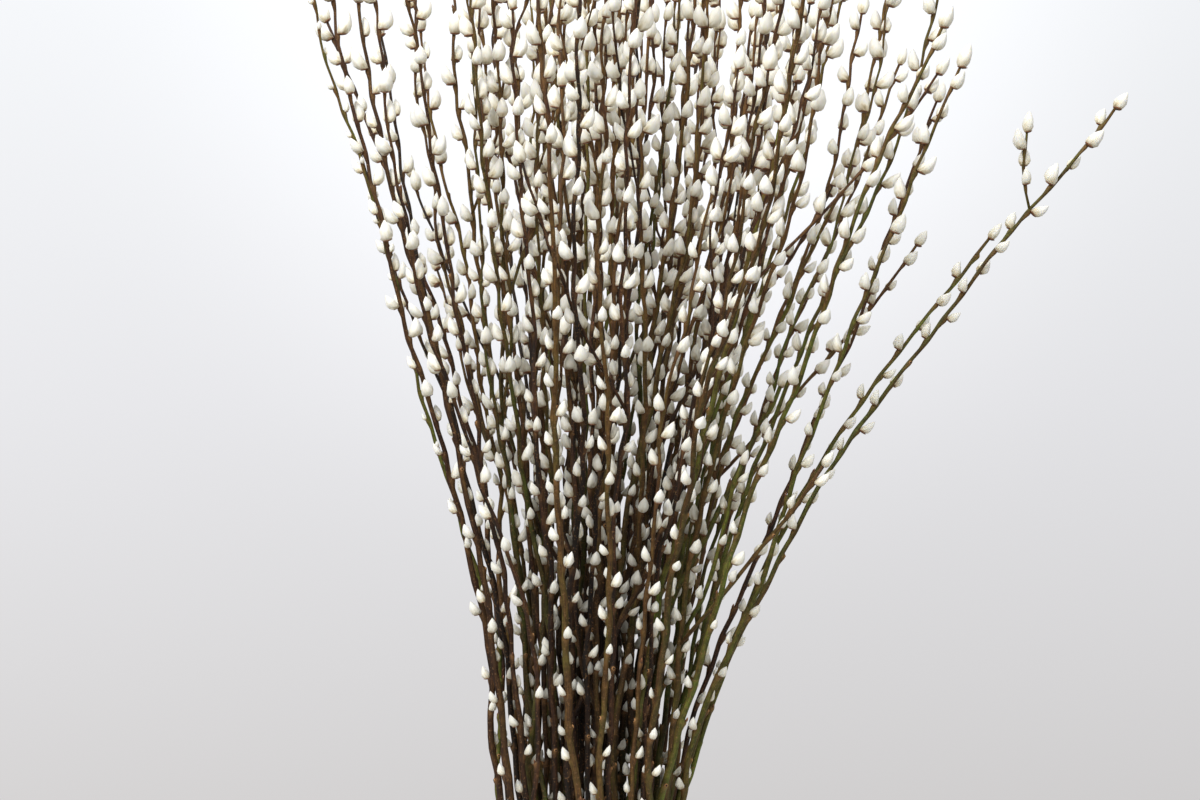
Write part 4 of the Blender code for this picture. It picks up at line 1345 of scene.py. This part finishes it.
def make_wood(settings):
    """Cut wood: growth rings round a brown pith, inside a thin green and brown rim."""
    cut = Finish("cut_wood")
    wood = np.array(settings.wood)
    share = cut.mark("mark")
    stops = (
        (0.0, wood * (0.45, 0.36, 0.25)),
        (0.10, wood * (0.62, 0.52, 0.38)),
        (0.18, wood),
        (0.86, wood * 0.92),
        (0.93, wood * (0.55, 0.60, 0.32)),
        (1.0, linear(66, 44, 30)),
    )
    rings = cut.math("SINE", cut.math("MULTIPLY", share, 21.0))
    blotch = cut.shared("Blotches", Scale=700.0, Low=0.3, High=0.7)
    level = cut.scaled(blotch, 0.14, cut.scaled(rings, 0.05, 0.86))
    shown = cut.shaded(cut.ramp(share, stops), level)
    return cut.shade(Base_Color=shown, Normal=cut.bump(level, 0.0003, 0.4), Roughness=0.7)


def make_twine(settings):
    """Twisted plant fibre: pale on the strands, painted shade in the grooves, loose hairs along the cord."""
    twine = Finish("twine")
    fibre = twine.shared("Strands", Round=26.0, Along=240.0, Detail=4.0)
    blotch = twine.shared("Blotches", Scale=260.0, Low=0.3, High=0.72)
    # Painted shade: the groove colour between the strands, the lit fibre colour on them.
    shown = twine.ramp(twine.mark("mark"), ((0.0, settings.groove), (0.6, settings.fibre)))
    shown = twine.shaded(shown, twine.scaled(blotch, 0.22, twine.scaled(fibre, 0.8, 0.45)))
    return twine.shade(
        Base_Color=shown,
        Normal=twine.bump(fibre, 0.0006, 0.9),
        Roughness=0.88,
        Sheen_Weight=0.25,
        Specular_IOR_Level=0.2,
    )


def dress_fork(shoots):
    """Gives the outlying stem's side shoot its lower catkins, close along the bark."""
    low = OUTLINE_FORK[1]
    lone = next(shoot for shoot in shoots if shoot.parent is not None and shoot.first * LEVEL_STEP >= low)
    for order, (height, side, length) in enumerate(FORK_CATKINS, start=len(lone.buds)):
        lone.buds.append(catkin_at(lone, height, side, order, length, np.mean(STOUTNESS), min(CATKIN_LEAN)))


def deal_barks(number):
    """Each branch's place on the bark's scale and its tone: every kind's share, in a shuffled order."""
    rng = np.random.default_rng(BARK_SEED)
    steps = (rng.permutation(number) + 0.5) / number
    kinds = np.searchsorted(np.cumsum(BARK_SHARES), steps * sum(BARK_SHARES))
    places = np.array(BARK_KINDS)[kinds] + rng.normal(0, BARK_SPREAD, number)
    return np.column_stack([places, rng.random(number)])


def family(branch, shoots):
    """A branch with the side shoots that grow from it, and those that grow from them."""
    members = [branch]
    for shoot in shoots:
        if any(shoot.parent is member for member in members):
            members.append(shoot)
    return members


def dress_shoot(skin, shoot, looks, bark, catkin):
    """Adds a shoot's bark, and at each of its buds a catkin with its bud scale, a closed bud or a scar."""
    rng = looks[0]
    grow_stem(skin, shoot, looks, bark)
    chance = np.array([reading(PRESENCE, bud.height) for bud in shoot.buds])
    solid = np.array([bud.order % SOLID_EVERY == 0 for bud in shoot.buds])
    is_open = solid | (rng.random(len(shoot.buds)) < chance)
    opened = [bud for bud, here in zip(shoot.buds, is_open) if here]
    closed = [bud for bud, here in zip(shoot.buds, is_open) if not here]
    grow_catkins_of(skin, opened, rng, catkin)
    grow_cups(skin, opened, rng, catkin)
    is_scar = rng.random(len(closed)) < SCAR_SHARE
    shut = [closed_bud(bud, rng) for bud, here in zip(closed, is_scar) if not here]
    if shut:
        grow_closed_buds(skin, shut, rng)
    fallen = [scar_of(shoot, bud, rng) for bud, here in zip(closed, is_scar) if here]
    if fallen:
        grow_scars(skin, fallen, rng)


class WILLOW_OT_branches(bpy.types.Operator):
    """Grow each branch of the bunch: its bark, its catkins, its buds and its cut end"""

    bl_idname = "willow.branches"
    bl_label = "Grow Branches"

    def execute(self, context):
        scene = context.scene
        bark, catkin = scene.willow_bark, scene.willow_catkins
        materials = [make_bark(bark), make_silk(catkin), make_cup(catkin), make_wood(bark), make_scar(bark)]
        branches, shoots = grow_bunch()
        dress_fork(shoots)
        rng = np.random.default_rng(FINE_SEED)
        for number, (branch, look) in enumerate(zip(branches, deal_barks(len(branches))), start=1):
            node = f"branch_{number:02d}"
            if node not in frame["nodes"]:
                raise RuntimeError(f"the frame has no {node}")
            skin = Skin()
            for shoot in family(branch, shoots):
                dress_shoot(skin, shoot, (rng, *look), bark, catkin)
            made = skin.make(f"willow_{number:02d}", materials)
            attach(made, "root")
            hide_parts(node)
        return {"FINISHED"}


class WILLOW_OT_tie(bpy.types.Operator):
    """Wind the twine round the branches and knot it in front"""

    bl_idname = "willow.tie"
    bl_label = "Tie with Twine"

    def execute(self, context):
        settings = context.scene.willow_twine
        inner = tie_inner()
        skin = Skin()
        lay_cord(skin, twine_path(inner), settings)
        lay_cord(skin, knot_path(inner + TWINE_RADIUS * KNOT_OUT), settings)
        made = skin.make("twine", [make_twine(settings)])
        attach(made, "root")
        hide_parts("twine_tie")
        return {"FINISHED"}


def make_floor(settings):
    """Pale matt floor that fades out towards its edge, by the distance from the middle."""
    floor = Finish("floor")
    reach = floor.add("VectorMath", {0: floor.add("TexCoord")["Object"]}, operation="LENGTH")["Value"]
    low, high = (settings.floor_radius * share for share in FLOOR_FADE)
    fade = floor.mapped(reach, low, high, 1.0, 0.0, "SMOOTHERSTEP")
    return floor.shade(Base_Color=settings.floor, Alpha=fade, Roughness=0.9, Specular_IOR_Level=0.1)


def make_backdrop(settings):
    """A world that shows a pale backdrop, brighter at the top left, and lights evenly from all round."""
    world = bpy.data.worlds.new("studio")
    world.use_nodes = True
    sky = Tree(world.node_tree)
    sky.nodes.clear()
    place = sky.add("TexCoord")["Generated"]
    parts = sky.add("SeparateXYZ", {0: place})
    stops = zip((0.0, 0.5, 1.0), (linear(213, 211, 211), linear(233, 233, 236), linear(247, 249, 252)))
    shown = sky.ramp(sky.mapped(parts["Z"], -BACKDROP_UP, BACKDROP_UP), stops)
    across = sky.mapped(parts["X"], -BACKDROP_SIDE, BACKDROP_SIDE, 1.0, RIGHT_DIM)
    away = sky.add("VectorMath", {0: place, 1: settings.glow_middle}, operation="DISTANCE")["Value"]
    glow = sky.mapped(away, 0.0, settings.glow_reach, settings.glow, 0.0, "SMOOTHERSTEP")
    seen = sky.add("Background", {"Color": shown, "Strength": sky.math("ADD", across, glow)})[0]
    above = sky.mapped(parts["Z"], *SKY_RISE, *(settings.sky * share for share in SKY_SHARES))
    around = sky.add("Background", {"Color": linear(250, 248, 243), "Strength": above})[0]
    choice = sky.add("MixShader", {0: sky.add("LightPath")["Is Camera Ray"], 1: around, 2: seen})[0]
    sky.add("OutputWorld", {"Surface": choice})
    return world


def add_softbox(name, place, aim, size, power):
    """A round area light, out of the camera's sight, turned to a height on the bunch."""
    light = bpy.data.lights.new(name, "AREA")
    light.shape = "DISK"
    light.size = size
    light.energy = power
    made = bpy.data.objects.new(name, light)
    made.location = place
    made.rotation_euler = (Vector((SOFTBOX_AIM, 0, aim)) - Vector(place)).to_track_quat("-Z", "Y").to_euler()
    made.visible_camera = False
    bpy.context.scene.collection.objects.link(made)


def lay_floor(skin, settings):
    """Adds the floor: a flat disk of rings that close to a pole in the middle, just below the cut ends."""
    radii = settings.floor_radius * np.array(FLOOR_RINGS)
    angles = angles_round(FLOOR_SIDES)
    ring = np.stack([np.cos(angles), np.sin(angles), 0 * angles], 1)
    points = np.vstack([(radii[:, None, None] * ring).reshape(-1, 3), np.zeros((1, 3))])
    points[:, 2] = -FLOOR_GAP
    faces, row, turn = closed_grid(len(radii), FLOOR_SIDES, end_pole=True)
    skin.add(points, faces, np.stack([turn / FLOOR_SIDES, row / len(radii)], -1), 0)


class WILLOW_OT_stage(bpy.types.Operator):
    """Set the floor, the backdrop, the soft lights and the camera"""

    bl_idname = "willow.stage"
    bl_label = "Set the Stage"

    def execute(self, context):
        scene = context.scene
        settings = scene.willow_stage
        skin = Skin()
        lay_floor(skin, settings)
        skin.make("floor", [make_floor(settings)])
        scene.world = make_backdrop(settings)
        scene.view_settings.view_transform = "Standard"
        for name, place, aim, size in SOFTBOXES:
            add_softbox(name, place, aim, size, getattr(settings, name))
        lens = bpy.data.cameras.new("camera")
        lens.lens = settings.lens
        lens.sensor_width = 36
        camera = bpy.data.objects.new("camera", lens)
        camera.location = (settings.eye_side, -settings.eye_distance, settings.eye_height)
        camera.rotation_euler = (math.radians(90), 0, 0)
        scene.collection.objects.link(camera)
        scene.camera = camera
        return {"FINISHED"}


class WILLOW_PT_bunch(bpy.types.Panel):
    """The steps that make the bunch, and their sizes and colours"""

    bl_idname = "WILLOW_PT_bunch"
    bl_label = "Pussy Willow Bunch"
    bl_space_type = "VIEW_3D"
    bl_region_type = "UI"
    bl_category = "Willow"

    def draw(self, context):
        steps = (
            ("willow.branches", ("willow_bark", "willow_catkins")),
            ("willow.tie", ("willow_twine",)),
            ("willow.stage", ("willow_stage",)),
        )
        for operator, groups in steps:
            box = self.layout.box()
            box.operator(operator)
            for group in groups:
                settings = getattr(context.scene, group)
                for name in settings.__annotations__:
                    box.prop(settings, name)


SETTINGS = {
    "willow_bark": WillowBarkSettings,
    "willow_catkins": WillowCatkinSettings,
    "willow_twine": WillowTwineSettings,
    "willow_stage": WillowStageSettings,
}
CLASSES = (*SETTINGS.values(), WILLOW_OT_branches, WILLOW_OT_tie, WILLOW_OT_stage, WILLOW_PT_bunch)


def register():
    for made in CLASSES:
        bpy.utils.register_class(made)
    for name, group in SETTINGS.items():
        setattr(bpy.types.Scene, name, bpy.props.PointerProperty(type=group))


def unregister():
    for name in SETTINGS:
        delattr(bpy.types.Scene, name)
    for made in reversed(CLASSES):
        bpy.utils.unregister_class(made)


def main():
    register()
    bpy.ops.willow.branches()
    bpy.ops.willow.tie()
    bpy.ops.willow.stage()


if __name__ == "__main__":
    main()
